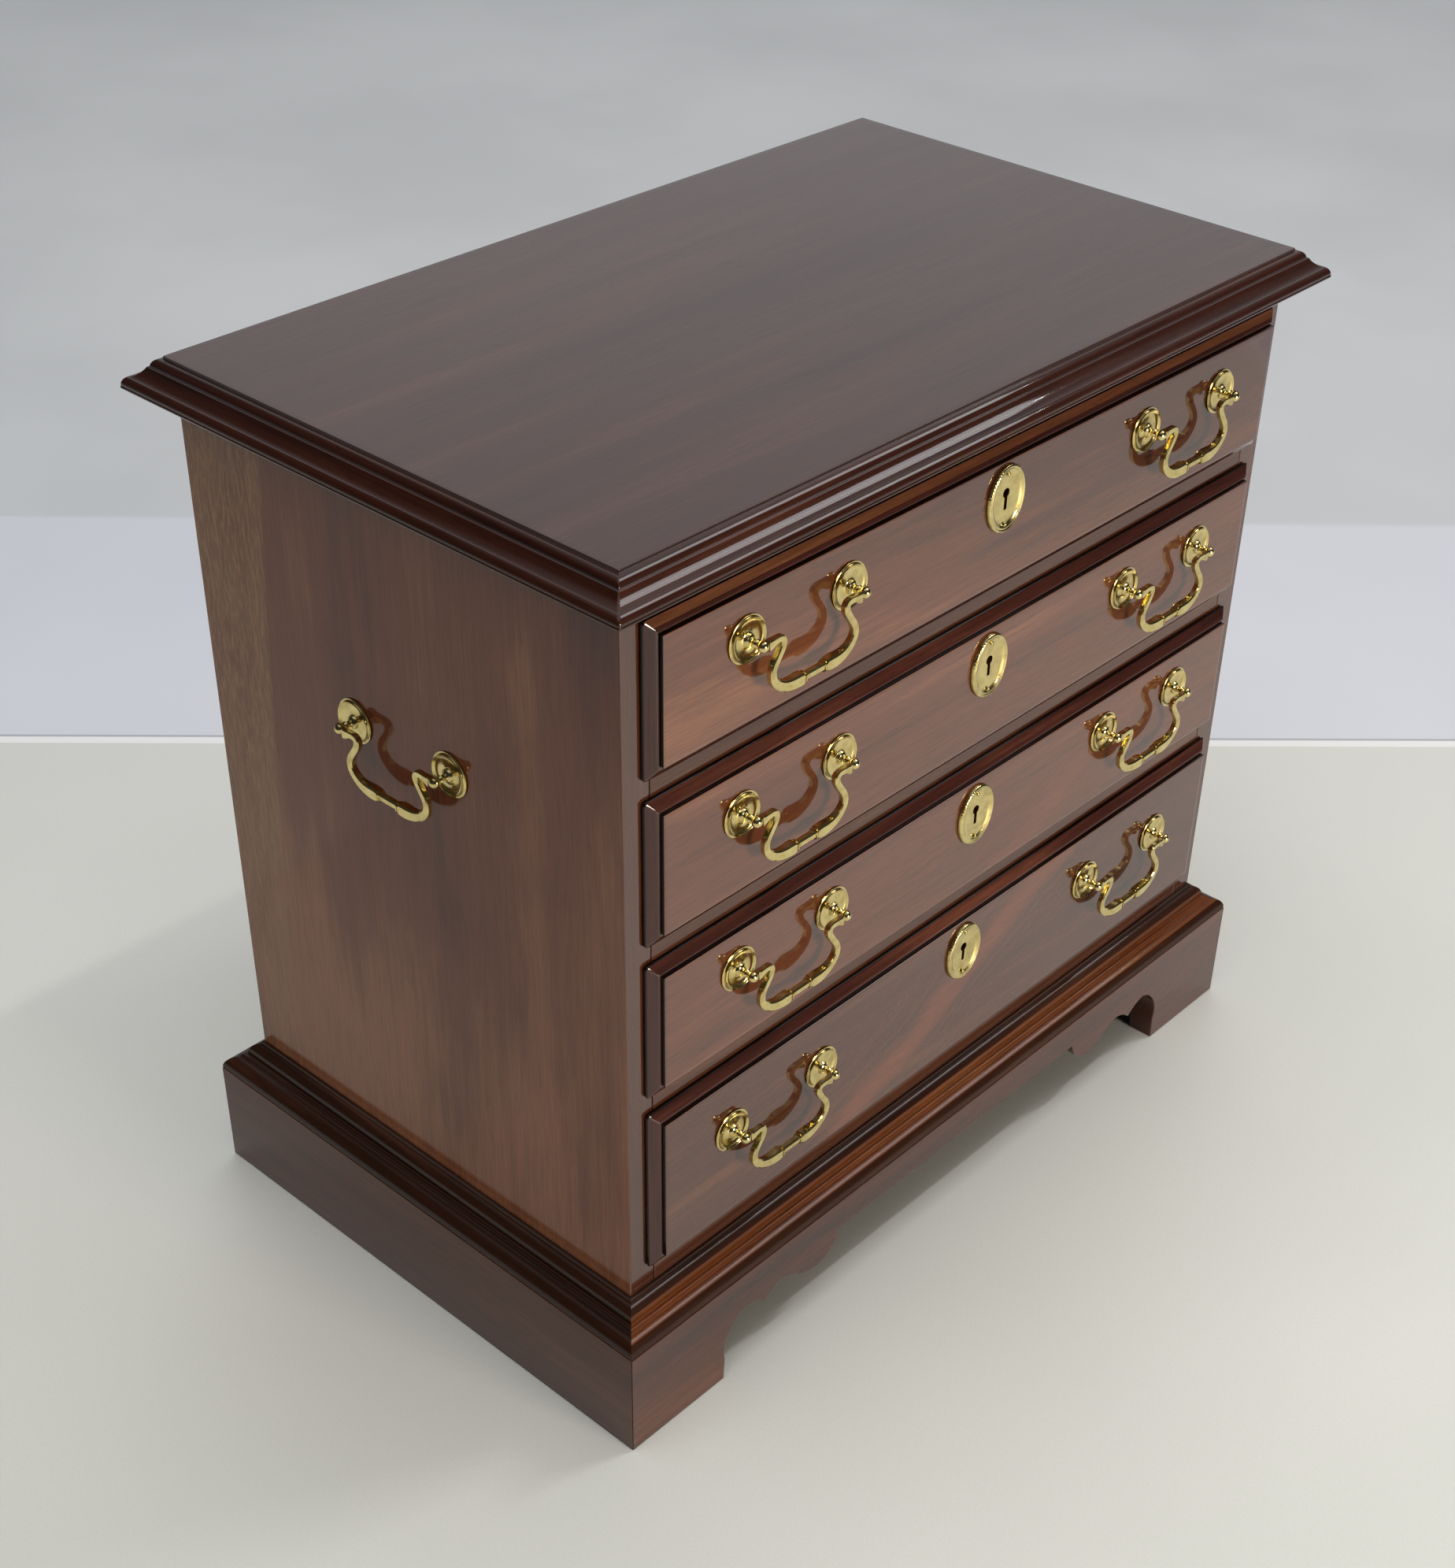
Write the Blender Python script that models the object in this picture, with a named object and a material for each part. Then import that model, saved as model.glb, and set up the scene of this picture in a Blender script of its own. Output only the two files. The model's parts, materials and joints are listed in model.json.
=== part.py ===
"""Miniature four-drawer chest of drawers in the Chippendale manner, as an assembly of separate pieces.

Units are metres, +Z is up and the drawers face -Y. The origin is the middle of the case, at floor level.
Every wooden board, drawer, brass post, bail handle and keyhole plate is its own object.
"""

import math

import bmesh
import bpy

# Gap that two touching pieces keep.
GAP = 0.0003
MITRE_GAP = 0.0002

# Case.
CASE_W = 0.420
CASE_D = 0.248
CASE_TOP = 0.4053
SIDE_T = 0.014
BACK_T = 0.006
FRONT_Y = -CASE_D / 2
BACK_Y = CASE_D / 2
INNER_X = CASE_W / 2 - SIDE_T

# Top board: its moulded edge is TOP_EDGE wide and overhangs the case by TOP_OUT.
TOP_BOTTOM = CASE_TOP + GAP
TOP_T = 0.0137
TOP_OUT = 0.01575
TOP_EDGE = 0.0132

# Base: four mitred moulding boards that the case stands on, above a plinth.
BASE_TOP = 0.0716
BASE_BOTTOM = 0.0559
BASE_OUT = 0.0155
BASE_IN = 0.0245
PLINTH_TOP = BASE_BOTTOM - GAP
PLINTH_T = 0.014
FOOT_INNER_X = 0.1675
BLOCK_INNER_X = 0.1697
BLOCK_SIDE = 0.0415

# Drawer openings, from the top one down, with the rails between them.
OPENING_TOP = 0.3896
OPENING_HEIGHTS = (0.0570, 0.0570, 0.0570, 0.0752)
DIVIDER_T = 0.0184
RAIL_DEPTH = 0.034
RUNNER_W = 0.018

# Drawer fronts: a lip that laps over the case, rounded, with a small step up to the flat field.
LIP_LAP = 0.0048
LIP_SIDE = 0.0022
LIP_ROUND = 0.0059
STEP = 0.0018
FIELD_OUT = 0.0064
LIP_CORNER = 0.0035
FIELD_CORNER = 0.0004
INSET_DEPTH = 0.010
FIELD_Y = FRONT_Y - FIELD_OUT
# How much further each front reaches on its right than on its left.
WIDER_RIGHT = (0.0026, 0.0007, 0.0, 0.0)

# Drawer boxes.
DRAWER_CLEAR_X = 0.0009
DRAWER_CLEAR_LOW = 0.0004
DRAWER_CLEAR_HIGH = 0.0007
BOX_CLEAR_HIGH = 0.0020
BOX_WALL = 0.007
BOX_FLOOR = 0.004
BOX_BACK_Y = 0.110
CUT_MARGIN = 0.010

# Bail pulls and their posts.
# Each drawer's pulls were set by hand: x of the left one and of the right one, and their height above
# the middle of the opening.
PULLS_AT = (
    (-0.1234, 0.1288, 0.0087),
    (-0.1245, 0.1270, 0.0084),
    (-0.1247, 0.1251, 0.0095),
    (-0.1268, 0.1250, 0.0096),
)
HALF_SPAN = 0.0285
PIVOT_OUT = 0.0080
ROSETTE_R = 0.0100
BALL_R = 0.0023
PIN_HOLE_R = 0.0011
PIN_HALF = 0.0006
PIN_REACH = 0.0008
POST_SEGMENTS = 10
SIDE_HANDLE_Z = 0.2925

# Keyhole plates.
PLATE_HALF_W = 0.0119
PLATE_HALF_H = 0.0149
# Each plate's x, and its drop below the top of the field.
PLATES_AT = ((0.0013, 0.0161), (0.0, 0.0172), (0.0, 0.0172), (0.0, 0.0172))
PLATE_SEGMENTS = 20
KEYHOLE_R = 0.0021
KEYHOLE_RISE = 0.0024
SLOT_HALF_W = 0.0011
SLOT_LENGTH = 0.0072
KEYHOLE_DEPTH = 0.006

ARC_STEPS = 3

# Name: (colour, roughness, metallic).
MATERIALS = {
    "mahogany": ((0.130, 0.045, 0.026), 0.30, 0.0),
    "mahogany_top": ((0.095, 0.045, 0.035), 0.28, 0.0),
    "mahogany_moulding": ((0.070, 0.018, 0.012), 0.22, 0.0),
    "mahogany_front": ((0.190, 0.075, 0.040), 0.30, 0.0),
    "drawer_lining": ((0.400, 0.250, 0.130), 0.60, 0.0),
    "foot_block_dark": ((0.022, 0.024, 0.020), 0.70, 0.0),
    "brass": ((0.780, 0.600, 0.250), 0.18, 1.0),
}


def clear_scene():
    for obj in list(bpy.data.objects):
        bpy.data.objects.remove(obj)


def make_materials():
    for name, (colour, roughness, metallic) in MATERIALS.items():
        material = bpy.data.materials.new(name)
        material.use_nodes = True
        shader = material.node_tree.nodes["Principled BSDF"]
        shader.inputs["Base Color"].default_value = (*colour, 1.0)
        shader.inputs["Roughness"].default_value = roughness
        shader.inputs["Metallic"].default_value = metallic
        material.diffuse_color = (*colour, 1.0)


# Outlines


def arc_between(start, end, rise, steps=ARC_STEPS):
    """Points of a circular arc from start to end, both included. A positive rise bulges to the left."""
    dx, dz = end[0] - start[0], end[1] - start[1]
    chord = math.hypot(dx, dz)
    radius = (chord * chord / 4 + rise * rise) / (2 * rise)
    left = (-dz / chord, dx / chord)
    centre = [(start[i] + end[i]) / 2 + left[i] * (rise - radius) for i in (0, 1)]
    first = math.atan2(start[1] - centre[1], start[0] - centre[0])
    last = math.atan2(end[1] - centre[1], end[0] - centre[0])
    sweep = (last - first + math.pi) % (2 * math.pi) - math.pi
    angles = [first + sweep * i / steps for i in range(steps + 1)]
    return [(centre[0] + abs(radius) * math.cos(a), centre[1] + abs(radius) * math.sin(a)) for a in angles]


def top_profile():
    """The top board's edge as (distance out from the flat, height below it), from the flat down."""
    thumb = arc_between((0.0, 0.0), (0.0042, 0.0044), -0.0009)
    cove = arc_between((0.0050, 0.0047), (0.0106, 0.0087), 0.0006)
    nose = arc_between((0.0106, 0.0087), (0.0130, 0.0120), -0.0005)
    bead = arc_between((0.0129, 0.0122), (0.0130, 0.0137), -0.0003)
    return thumb + cove + nose[1:] + bead


def base_profile():
    """The base moulding's face as (distance out from the case, height), from its top edge down."""
    upper = arc_between((0.0018, 0.0698), (0.0060, 0.0644), 0.0010)
    bead = arc_between((0.0072, 0.0635), (0.0083, 0.0624), 0.0003, 2)
    nose = arc_between((0.0090, 0.0621), (0.0154, 0.0566), 0.0013)
    return [(0.0009, BASE_TOP), (0.0009, 0.0708)] + upper + bead + nose + [(BASE_OUT, BASE_BOTTOM)]


def apron_edge():
    """The right half of the apron's lower edge as (x, z), from the middle out to the foot."""
    points = [(0.0, 0.0389), (0.0896, 0.0389)]
    points += arc_between((0.0907, 0.0384), (0.1050, 0.0254), -0.0030, 4)
    points += arc_between((0.1050, 0.0254), (0.1180, 0.0290), -0.0008, 2)[1:]
    points += arc_between((0.1180, 0.0290), (0.1290, 0.0350), 0.0008, 2)[1:]
    points += arc_between((0.1290, 0.0350), (0.1415, 0.0291), 0.0013)[1:]
    points += arc_between((0.1415, 0.0291), (0.1535, 0.0354), 0.0012)[1:]
    points += arc_between((0.1535, 0.0354), (0.1668, 0.0120), 0.0057, 5)[1:]
    return points + [(FOOT_INNER_X, 0.0)]


def bail_path():
    """One half of a bail's centre line as (distance from the middle, height below the pivots)."""
    points = [(HALF_SPAN - BALL_R - GAP, -0.0006), (0.0212, -0.0002)]
    points += arc_between((0.0192, -0.0004), (0.0184, -0.0042), -0.0010, 2)
    points += arc_between((0.0224, -0.0104), (0.0206, -0.0188), 0.0020, 3)
    points += [(0.0166, -0.0211), (0.0120, -0.0219)]
    return points + [(0.0085, -0.0220), (0.0054, -0.0220), (0.0049, -0.0220), (0.0, -0.0220)]


def bail_half_sizes(count):
    """Half thickness of a bail in its plane and across it, for each point of bail_path."""
    arm = [(0.0021, 0.0011), (0.0014, 0.0011)]
    grip = [(0.0016, 0.0013), (0.0021, 0.0017), (0.0021, 0.0018), (0.0014, 0.0013), (0.0014, 0.0013)]
    return arm + [(0.0013, 0.0011)] * (count - len(arm) - len(grip)) + grip


# Solids


def finish(name, mesh_builder, material, smooth_angle=None):
    """Turns a bmesh into a named object with outward faces and one material."""
    bmesh.ops.recalc_face_normals(mesh_builder, faces=mesh_builder.faces)
    mesh = bpy.data.meshes.new(name)
    mesh_builder.to_mesh(mesh)
    mesh_builder.free()
    obj = bpy.data.objects.new(name, mesh)
    bpy.context.scene.collection.objects.link(obj)
    obj.data.materials.append(bpy.data.materials[material])
    if smooth_angle is not None:
        mesh.shade_smooth()
        mesh.set_sharp_from_angle(angle=smooth_angle)
    return obj


def skin(name, rings, material, smooth_angle=None):
    """One closed body through rings of as many points each, with a flat cap at both ends."""
    builder = bmesh.new()
    loops = [[builder.verts.new(point) for point in ring] for ring in rings]
    for low, high in zip(loops, loops[1:]):
        for i in range(len(low)):
            j = (i + 1) % len(low)
            builder.faces.new((low[i], low[j], high[j], high[i]))
    builder.faces.new(loops[0])
    builder.faces.new(reversed(loops[-1]))
    return finish(name, builder, material, smooth_angle)


def box(name, low, high, material):
    corners = [(low[0], low[1]), (high[0], low[1]), (high[0], high[1]), (low[0], high[1])]
    return skin(name, [[(x, y, z) for x, y in corners] for z in (low[2], high[2])], material)


def prism_z(name, outline, low, high, material):
    return skin(name, [[(x, y, z) for x, y in outline] for z in (low, high)], material)


def cut(obj, cutter):
    """Cuts one hidden helper solid out of obj."""
    cutter.hide_render = True
    cutter.display_type = "WIRE"
    modifier = obj.modifiers.new("cut", "BOOLEAN")
    modifier.operation = "DIFFERENCE"
    modifier.solver = "EXACT"
    modifier.object = cutter


def rounded_rectangle(half_x, z_low, z_high, radius, y):
    """A ring in the plane y, with two steps in each of its corners."""
    ring = []
    corners = ((half_x, z_low, -90), (half_x, z_high, 0), (-half_x, z_high, 90), (-half_x, z_low, 180))
    for x, z, start in corners:
        centre_x = x - math.copysign(radius, x)
        centre_z = z + radius if z == z_low else z - radius
        for step in range(3):
            angle = math.radians(start + 45 * step)
            ring.append((centre_x + radius * math.cos(angle), y, centre_z + radius * math.sin(angle)))
    return ring


def turned(name, profile, segments, material):
    """A body turned about Z from (radius, height) points, with a flat cap at both ends."""
    angles = [2 * math.pi * i / segments for i in range(segments)]
    rings = [[(r * math.cos(a), r * math.sin(a), z) for a in angles] for r, z in profile]
    return skin(name, rings, material, math.radians(40))


def mitred_board(name, profile, quarter_turns, material):
    """A board along one side of the case, whose (out, z) profile runs into a mitre at both ends."""
    half_length, half_depth = (CASE_W / 2, CASE_D / 2) if quarter_turns % 2 == 0 else (CASE_D / 2, CASE_W / 2)
    rings = []
    for end in (-1, 1):
        rings.append([(end * (half_length + out - MITRE_GAP), -(half_depth + out), z) for out, z in profile])
    obj = skin(name, rings, material)
    obj.rotation_euler = (0, 0, quarter_turns * math.pi / 2)
    return obj


# Case


def make_top_board():
    flat_x = CASE_W / 2 + TOP_OUT - TOP_EDGE
    flat_y = CASE_D / 2 + TOP_OUT - TOP_EDGE
    rings = []
    for out, drop in top_profile():
        x, y, z = flat_x + out, flat_y + out, TOP_BOTTOM + TOP_T - drop
        rings.append([(-x, -y, z), (x, -y, z), (x, y, z), (-x, y, z)])
    skin("top_board", rings, "mahogany_top")


def make_case_panels():
    low = BASE_TOP + GAP
    for name, side in (("side_panel_left", -1), ("side_panel_right", 1)):
        xs = sorted((side * INNER_X, side * CASE_W / 2))
        box(name, (xs[0], FRONT_Y, low), (xs[1], BACK_Y, CASE_TOP), "mahogany")
    half = INNER_X - GAP
    box("back_panel", (-half, BACK_Y - BACK_T - GAP, low), (half, BACK_Y - GAP, CASE_TOP), "mahogany")
    top = openings()[-1][0]
    box("bottom_board", (-half, FRONT_Y, low), (half, BACK_Y - BACK_T - 2 * GAP, top), "mahogany")


def openings():
    """(low, high) heights of the drawer openings, from the top one down."""
    found = []
    high = OPENING_TOP
    for height in OPENING_HEIGHTS:
        found.append((high - height, high))
        high -= height + DIVIDER_T
    return found


def make_rail_frame(name, low, high):
    """A front rail with a runner along each side, which carries the drawer above it."""
    outer = INNER_X - GAP
    inner = outer - RUNNER_W
    back = BACK_Y - BACK_T - 2 * GAP
    rail_back = FRONT_Y + RAIL_DEPTH
    outline = [
        (-outer, FRONT_Y),
        (outer, FRONT_Y),
        (outer, back),
        (inner, back),
        (inner, rail_back),
        (-inner, rail_back),
        (-inner, back),
        (-outer, back),
    ]
    prism_z(name, outline, low, high, "mahogany")


def make_rails():
    make_rail_frame("top_rail", OPENING_TOP, CASE_TOP)
    for number, (low, _) in enumerate(openings()[:-1], start=1):
        make_rail_frame(f"drawer_divider_{number}", low - DIVIDER_T, low)


# Base


def make_base_mouldings():
    profile = base_profile() + [(-BASE_IN, BASE_BOTTOM), (-BASE_IN, BASE_TOP)]
    for name, turns in (("base_moulding_front", 0), ("base_moulding_right", 1), ("base_moulding_left", 3)):
        mitred_board(name, profile, turns, "mahogany_moulding")


def plinth_profile():
    inner = BASE_OUT - PLINTH_T
    return [(BASE_OUT, 0.0), (BASE_OUT, PLINTH_TOP), (inner, PLINTH_TOP), (inner, 0.0)]


def make_plinth_sides():
    mitred_board("plinth_right", plinth_profile(), 1, "mahogany")
    mitred_board("plinth_left", plinth_profile(), 3, "mahogany")


def make_plinth_back():
    """The back of the base, with its moulding worked on the plinth board itself."""
    inner = BASE_OUT - PLINTH_T
    profile = base_profile()[:-1] + [(BASE_OUT, 0.0), (inner, 0.0), (inner, BASE_BOTTOM)]
    mitred_board("plinth_back", profile + [(-BASE_IN, BASE_BOTTOM), (-BASE_IN, BASE_TOP)], 2, "mahogany")


def make_plinth_front():
    """The scrolled front board, mitred to the side boards."""
    rings = []
    for out in (BASE_OUT, BASE_OUT - PLINTH_T):
        end = CASE_W / 2 + out - MITRE_GAP
        right = apron_edge() + [(end, 0.0), (end, PLINTH_TOP)]
        left = [(-x, z) for x, z in reversed(right) if x > 0]
        rings.append([(x, FRONT_Y - out, z) for x, z in right + left])
    skin("plinth_front", rings, "mahogany_front")


def make_foot_blocks():
    inner_face = BASE_OUT - PLINTH_T
    low_y = FRONT_Y - inner_face + GAP
    for name, side in (("foot_block_left", -1), ("foot_block_right", 1)):
        xs = sorted((side * BLOCK_INNER_X, side * (CASE_W / 2 + inner_face - GAP)))
        box(name, (xs[0], low_y, 0.0), (xs[1], low_y + BLOCK_SIDE, PLINTH_TOP), "foot_block_dark")


# Drawers


def field_heights(low, high):
    """(low, high) of the flat field of the drawer in an opening."""
    inset = LIP_ROUND - LIP_LAP
    return low + inset, high - inset


def front_rings(low, high, wider_right):
    """The rings of a lipped drawer front, from its back face out to its field."""
    half_x = INNER_X - DRAWER_CLEAR_X
    inset = (half_x, low + DRAWER_CLEAR_LOW, high - DRAWER_CLEAR_HIGH, FIELD_CORNER)
    rings = [rounded_rectangle(*inset, FRONT_Y + INSET_DEPTH), rounded_rectangle(*inset, FRONT_Y - GAP)]

    def lapped(inward, corner, y):
        lap = LIP_LAP - inward
        ring = rounded_rectangle(INNER_X + lap, low - lap, high + lap, corner, y)
        return [(x + wider_right * (x > 0), y, z) for x, y, z in ring]

    round_height = FIELD_OUT - STEP - LIP_SIDE
    rings.append(lapped(0.0, LIP_CORNER, FRONT_Y - GAP))
    for step in range(ARC_STEPS + 1):
        angle = math.pi / 2 * step / ARC_STEPS
        inward = LIP_ROUND * (1 - math.cos(angle))
        corner = LIP_CORNER + (FIELD_CORNER - LIP_CORNER) * inward / LIP_ROUND
        rings.append(lapped(inward, corner, FRONT_Y - LIP_SIDE - round_height * math.sin(angle)))
    rings.append(lapped(LIP_ROUND, FIELD_CORNER, FIELD_Y))
    return rings


def keyhole_outline(centre_x, centre_z):
    """A keyhole as (x, z): three quarters of a circle with a slot below it."""
    centre_z += KEYHOLE_RISE
    shoulder = math.asin(SLOT_HALF_W / KEYHOLE_R)
    angles = [shoulder - math.pi / 2 + (2 * math.pi - 2 * shoulder) * i / 7 for i in range(8)]
    circle = [(centre_x + KEYHOLE_R * math.cos(a), centre_z + KEYHOLE_R * math.sin(a)) for a in angles]
    foot = centre_z - SLOT_LENGTH
    return circle + [(centre_x - SLOT_HALF_W, foot), (centre_x + SLOT_HALF_W, foot)]


def keyhole_cutter(name, centre, front, back):
    outline = keyhole_outline(*centre)
    return skin(name, [[(x, y, z) for x, z in outline] for y in (front, back)], "brass")


def plate_centre(number, high):
    """(x, z) of the middle of a drawer's keyhole plate."""
    centre_x, below_field_top = PLATES_AT[number - 1]
    return centre_x, field_heights(0.0, high)[1] - below_field_top


def make_drawer_front(number, low, high):
    rings = front_rings(low, high, WIDER_RIGHT[number - 1])
    front = skin(f"drawer_{number}_front", rings, "mahogany_front")
    name = f"cutter_front_keyhole_{number}"
    centre = plate_centre(number, high)
    cut(front, keyhole_cutter(name, centre, FIELD_Y - CUT_MARGIN, FIELD_Y + KEYHOLE_DEPTH))


def make_drawer_box(number, low, high):
    """The drawer's sides, back and bottom, joined into one open tray behind the front."""
    half_x = INNER_X - DRAWER_CLEAR_X
    front_y = FRONT_Y + INSET_DEPTH + GAP
    floor = low + DRAWER_CLEAR_LOW
    tray = box(
        f"drawer_{number}_box",
        (-half_x, front_y, floor),
        (half_x, BOX_BACK_Y, high - BOX_CLEAR_HIGH),
        "drawer_lining",
    )
    hollow = box(
        f"cutter_box_{number}",
        (BOX_WALL - half_x, front_y - CUT_MARGIN, floor + BOX_FLOOR),
        (half_x - BOX_WALL, BOX_BACK_Y - BOX_WALL, high + CUT_MARGIN),
        "drawer_lining",
    )
    cut(tray, hollow)


def make_keyhole_plate(number, high):
    """An oval plate with a raised rim and a dished middle, cut through by its keyhole."""
    centre_x, centre_z = plate_centre(number, high)
    angles = [2 * math.pi * i / PLATE_SEGMENTS for i in range(PLATE_SEGMENTS)]
    rings = []
    for inward, out in ((0.0, GAP), (0.0, 0.0011), (0.0009, 0.0016), (0.0022, 0.0012), (0.0042, 0.0008)):
        half_w, half_h = PLATE_HALF_W - inward, PLATE_HALF_H - inward
        y = FIELD_Y - out
        rings.append([(centre_x + half_w * math.cos(a), y, centre_z + half_h * math.sin(a)) for a in angles])
    plate = skin(f"escutcheon_{number}", rings, "brass", math.radians(40))
    name = f"cutter_plate_keyhole_{number}"
    cut(plate, keyhole_cutter(name, (centre_x, centre_z), FIELD_Y - CUT_MARGIN, FIELD_Y + CUT_MARGIN))


# Handles


def post_profile():
    """(radius, distance out) of a rosette with its post and ball, from the rosette's back."""
    return [
        (ROSETTE_R, GAP),
        (ROSETTE_R, 0.0013),
        (0.0090, 0.0016),
        (0.0064, 0.0008),
        (0.0026, 0.0012),
        (0.0015, 0.0030),
        (0.0015, PIVOT_OUT - 0.0020),
        (BALL_R, PIVOT_OUT - 0.0008),
        (BALL_R, PIVOT_OUT + 0.0008),
        (0.0011, PIVOT_OUT + 0.0020),
    ]


def make_post(name, side):
    """A rosette and ball-ended post at the origin, along +Z. Its pin hole opens towards the other post."""
    post = turned(name, post_profile(), POST_SEGMENTS, "brass")
    angles = [math.pi / 3 * i for i in range(6)]
    rings = []
    for x in (side * -0.0040, side * PIN_REACH):
        rings.append([(x, PIN_HOLE_R * math.cos(a), PIVOT_OUT + PIN_HOLE_R * math.sin(a)) for a in angles])
    cutter = skin(f"cutter_{name}", rings, "brass")
    cutter.parent = post
    cut(post, cutter)
    return post


def make_bail(name):
    """A swan-necked bail that hangs below its pivots, with a pin at each end. Its pivots lie along X."""
    path = bail_path()
    sizes = bail_half_sizes(len(path))
    pin_end = (HALF_SPAN - GAP, 0.0)
    pin_foot = (path[0][0], 0.0)
    half = [(pin_end, (PIN_HALF, PIN_HALF)), (pin_foot, (PIN_HALF, PIN_HALF))]
    half += list(zip(path, sizes))
    mirrored = [((-x, z), size) for (x, z), size in reversed(half[:-1])]
    whole = half + mirrored
    rings = []
    for i, ((x, z), (in_plane, across)) in enumerate(whole):
        before = whole[max(i - 1, 0)][0]
        after = whole[min(i + 1, len(whole) - 1)][0]
        dx, dz = after[0] - before[0], after[1] - before[1]
        length = math.hypot(dx, dz)
        nx, nz = -dz / length * in_plane, dx / length * in_plane
        rings.append([
            (x + nx, -across, z + nz),
            (x + nx, across, z + nz),
            (x - nx, across, z - nz),
            (x - nx, -across, z - nz),
        ])
    return skin(name, rings, "brass", math.radians(35))


def make_pull(label, pivot, turn, out_rotation):
    """Two posts and a bail. pivot is the middle of the bail's axis, and turn is about Z."""
    holder = bpy.data.objects.new(f"pivot_{label}", None)
    bpy.context.scene.collection.objects.link(holder)
    holder.location = pivot
    holder.rotation_euler = (0, 0, turn)
    bail = make_bail(f"bail_{label}")
    bail.parent = holder
    for hand, side in (("a", -1), ("b", 1)):
        post = make_post(f"post_{label}_{hand}", side)
        post.parent = holder
        post.location = (side * HALF_SPAN, PIVOT_OUT, 0)
        post.rotation_euler = out_rotation


def make_pulls():
    lying = (math.pi / 2, 0, 0)
    for number, (low, high) in enumerate(openings(), start=1):
        left_x, right_x, above_middle = PULLS_AT[number - 1]
        z = (low + high) / 2 + above_middle
        for label, x in (("left", left_x), ("right", right_x)):
            make_pull(f"{number}_{label}", (x, FIELD_Y - PIVOT_OUT, z), 0.0, lying)
    out = CASE_W / 2 + PIVOT_OUT
    make_pull("side_left", (-out, 0.0, SIDE_HANDLE_Z), -math.pi / 2, lying)
    make_pull("side_right", (out, 0.0, SIDE_HANDLE_Z), math.pi / 2, lying)


def main():
    clear_scene()
    make_materials()
    make_top_board()
    make_case_panels()
    make_rails()
    make_base_mouldings()
    make_plinth_sides()
    make_plinth_back()
    make_plinth_front()
    make_foot_blocks()
    for number, (low, high) in enumerate(openings(), start=1):
        make_drawer_front(number, low, high)
        make_drawer_box(number, low, high)
        make_keyhole_plate(number, high)
    make_pulls()


main()
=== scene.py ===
"""Looks for the miniature chest of drawers: fine meshes, procedural materials, floor, light and camera.

Everything is in metres in the CAD frame, but for the outlines and tables that say millimetres.
"""

import json
import math

import bmesh
import bpy
from mathutils import Matrix, Vector

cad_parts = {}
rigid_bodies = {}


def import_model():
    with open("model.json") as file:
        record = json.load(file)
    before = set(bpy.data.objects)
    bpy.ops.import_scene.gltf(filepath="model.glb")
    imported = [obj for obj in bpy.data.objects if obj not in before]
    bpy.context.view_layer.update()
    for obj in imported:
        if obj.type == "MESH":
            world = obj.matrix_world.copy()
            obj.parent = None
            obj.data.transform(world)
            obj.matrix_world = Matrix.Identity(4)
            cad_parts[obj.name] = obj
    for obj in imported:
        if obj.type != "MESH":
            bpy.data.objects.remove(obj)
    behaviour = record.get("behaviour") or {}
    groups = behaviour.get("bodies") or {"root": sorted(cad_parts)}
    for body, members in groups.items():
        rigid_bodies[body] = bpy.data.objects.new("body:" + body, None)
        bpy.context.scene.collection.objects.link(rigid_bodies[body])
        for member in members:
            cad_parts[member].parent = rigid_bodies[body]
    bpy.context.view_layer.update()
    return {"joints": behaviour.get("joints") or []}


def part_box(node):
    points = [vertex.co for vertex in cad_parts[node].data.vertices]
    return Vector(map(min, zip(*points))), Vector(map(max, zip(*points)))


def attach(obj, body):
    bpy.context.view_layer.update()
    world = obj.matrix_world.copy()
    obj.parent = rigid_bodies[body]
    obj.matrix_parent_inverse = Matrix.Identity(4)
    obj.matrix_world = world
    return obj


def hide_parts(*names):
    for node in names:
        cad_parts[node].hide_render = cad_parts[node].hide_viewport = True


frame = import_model()

MM = 0.001
SIDES = (-1, 1)
HANDS = ((-1, "left"), (1, "right"))

# Camera, matched to the chest in the photograph.
CAMERA_AT = (-0.7047, -0.6287, 0.7923)
CAMERA_RIGHT = (0.67121, -0.74094, 0.02215)
CAMERA_UP = (0.42640, 0.41037, 0.80609)
LENS = 53.80
SENSOR = 36.0
SHIFT_X = -0.0253
SHIFT_Y = 0.0827

# Case sizes read from the CAD.
TOP_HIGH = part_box("top_board")[1]
SIDE_LOW, SIDE_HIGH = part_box("side_panel_left")
BASE_LOW, BASE_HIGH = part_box("base_moulding_front")
PLINTH_LOW, PLINTH_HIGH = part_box("plinth_front")
HALF_W = -SIDE_LOW.x
FRONT_Y = SIDE_LOW.y
HALF_D = SIDE_HIGH.y
INNER_X = -SIDE_HIGH.x
FIELD_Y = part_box("drawer_1_front")[0].y
GAP = 0.3 * MM

# Arris: the small rounding left on worked wooden edges.
ARRIS = 0.35 * MM

# Stage: the table's far edge is the line x * TABLE_EDGE[0] + y * TABLE_EDGE[1] = TABLE_FAR.
TABLE_EDGE = (0.721, 0.693)
TABLE_FAR = 0.320
# The pale strip beyond it ends at STRIP_FAR, on the same scale.
STRIP_FAR = 0.627
# How softly the zones meet, and where the table's light rim and the dark line past it fade out and in.
ZONE_BLUR = 0.8 * MM
STRIP_BLUR = 4.0 * MM
RIM = (4.2 * MM, 3.0 * MM)
DARK_LINE = (1.4 * MM, 0.8 * MM)
DARK_LINE_PAST = 5.0 * MM
FLOOR_HALF = 6.0
FLOOR_Z = -0.1 * MM

# The point that every light faces.
LIT_POINT = (0.0, 0.0, 0.25)
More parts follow.
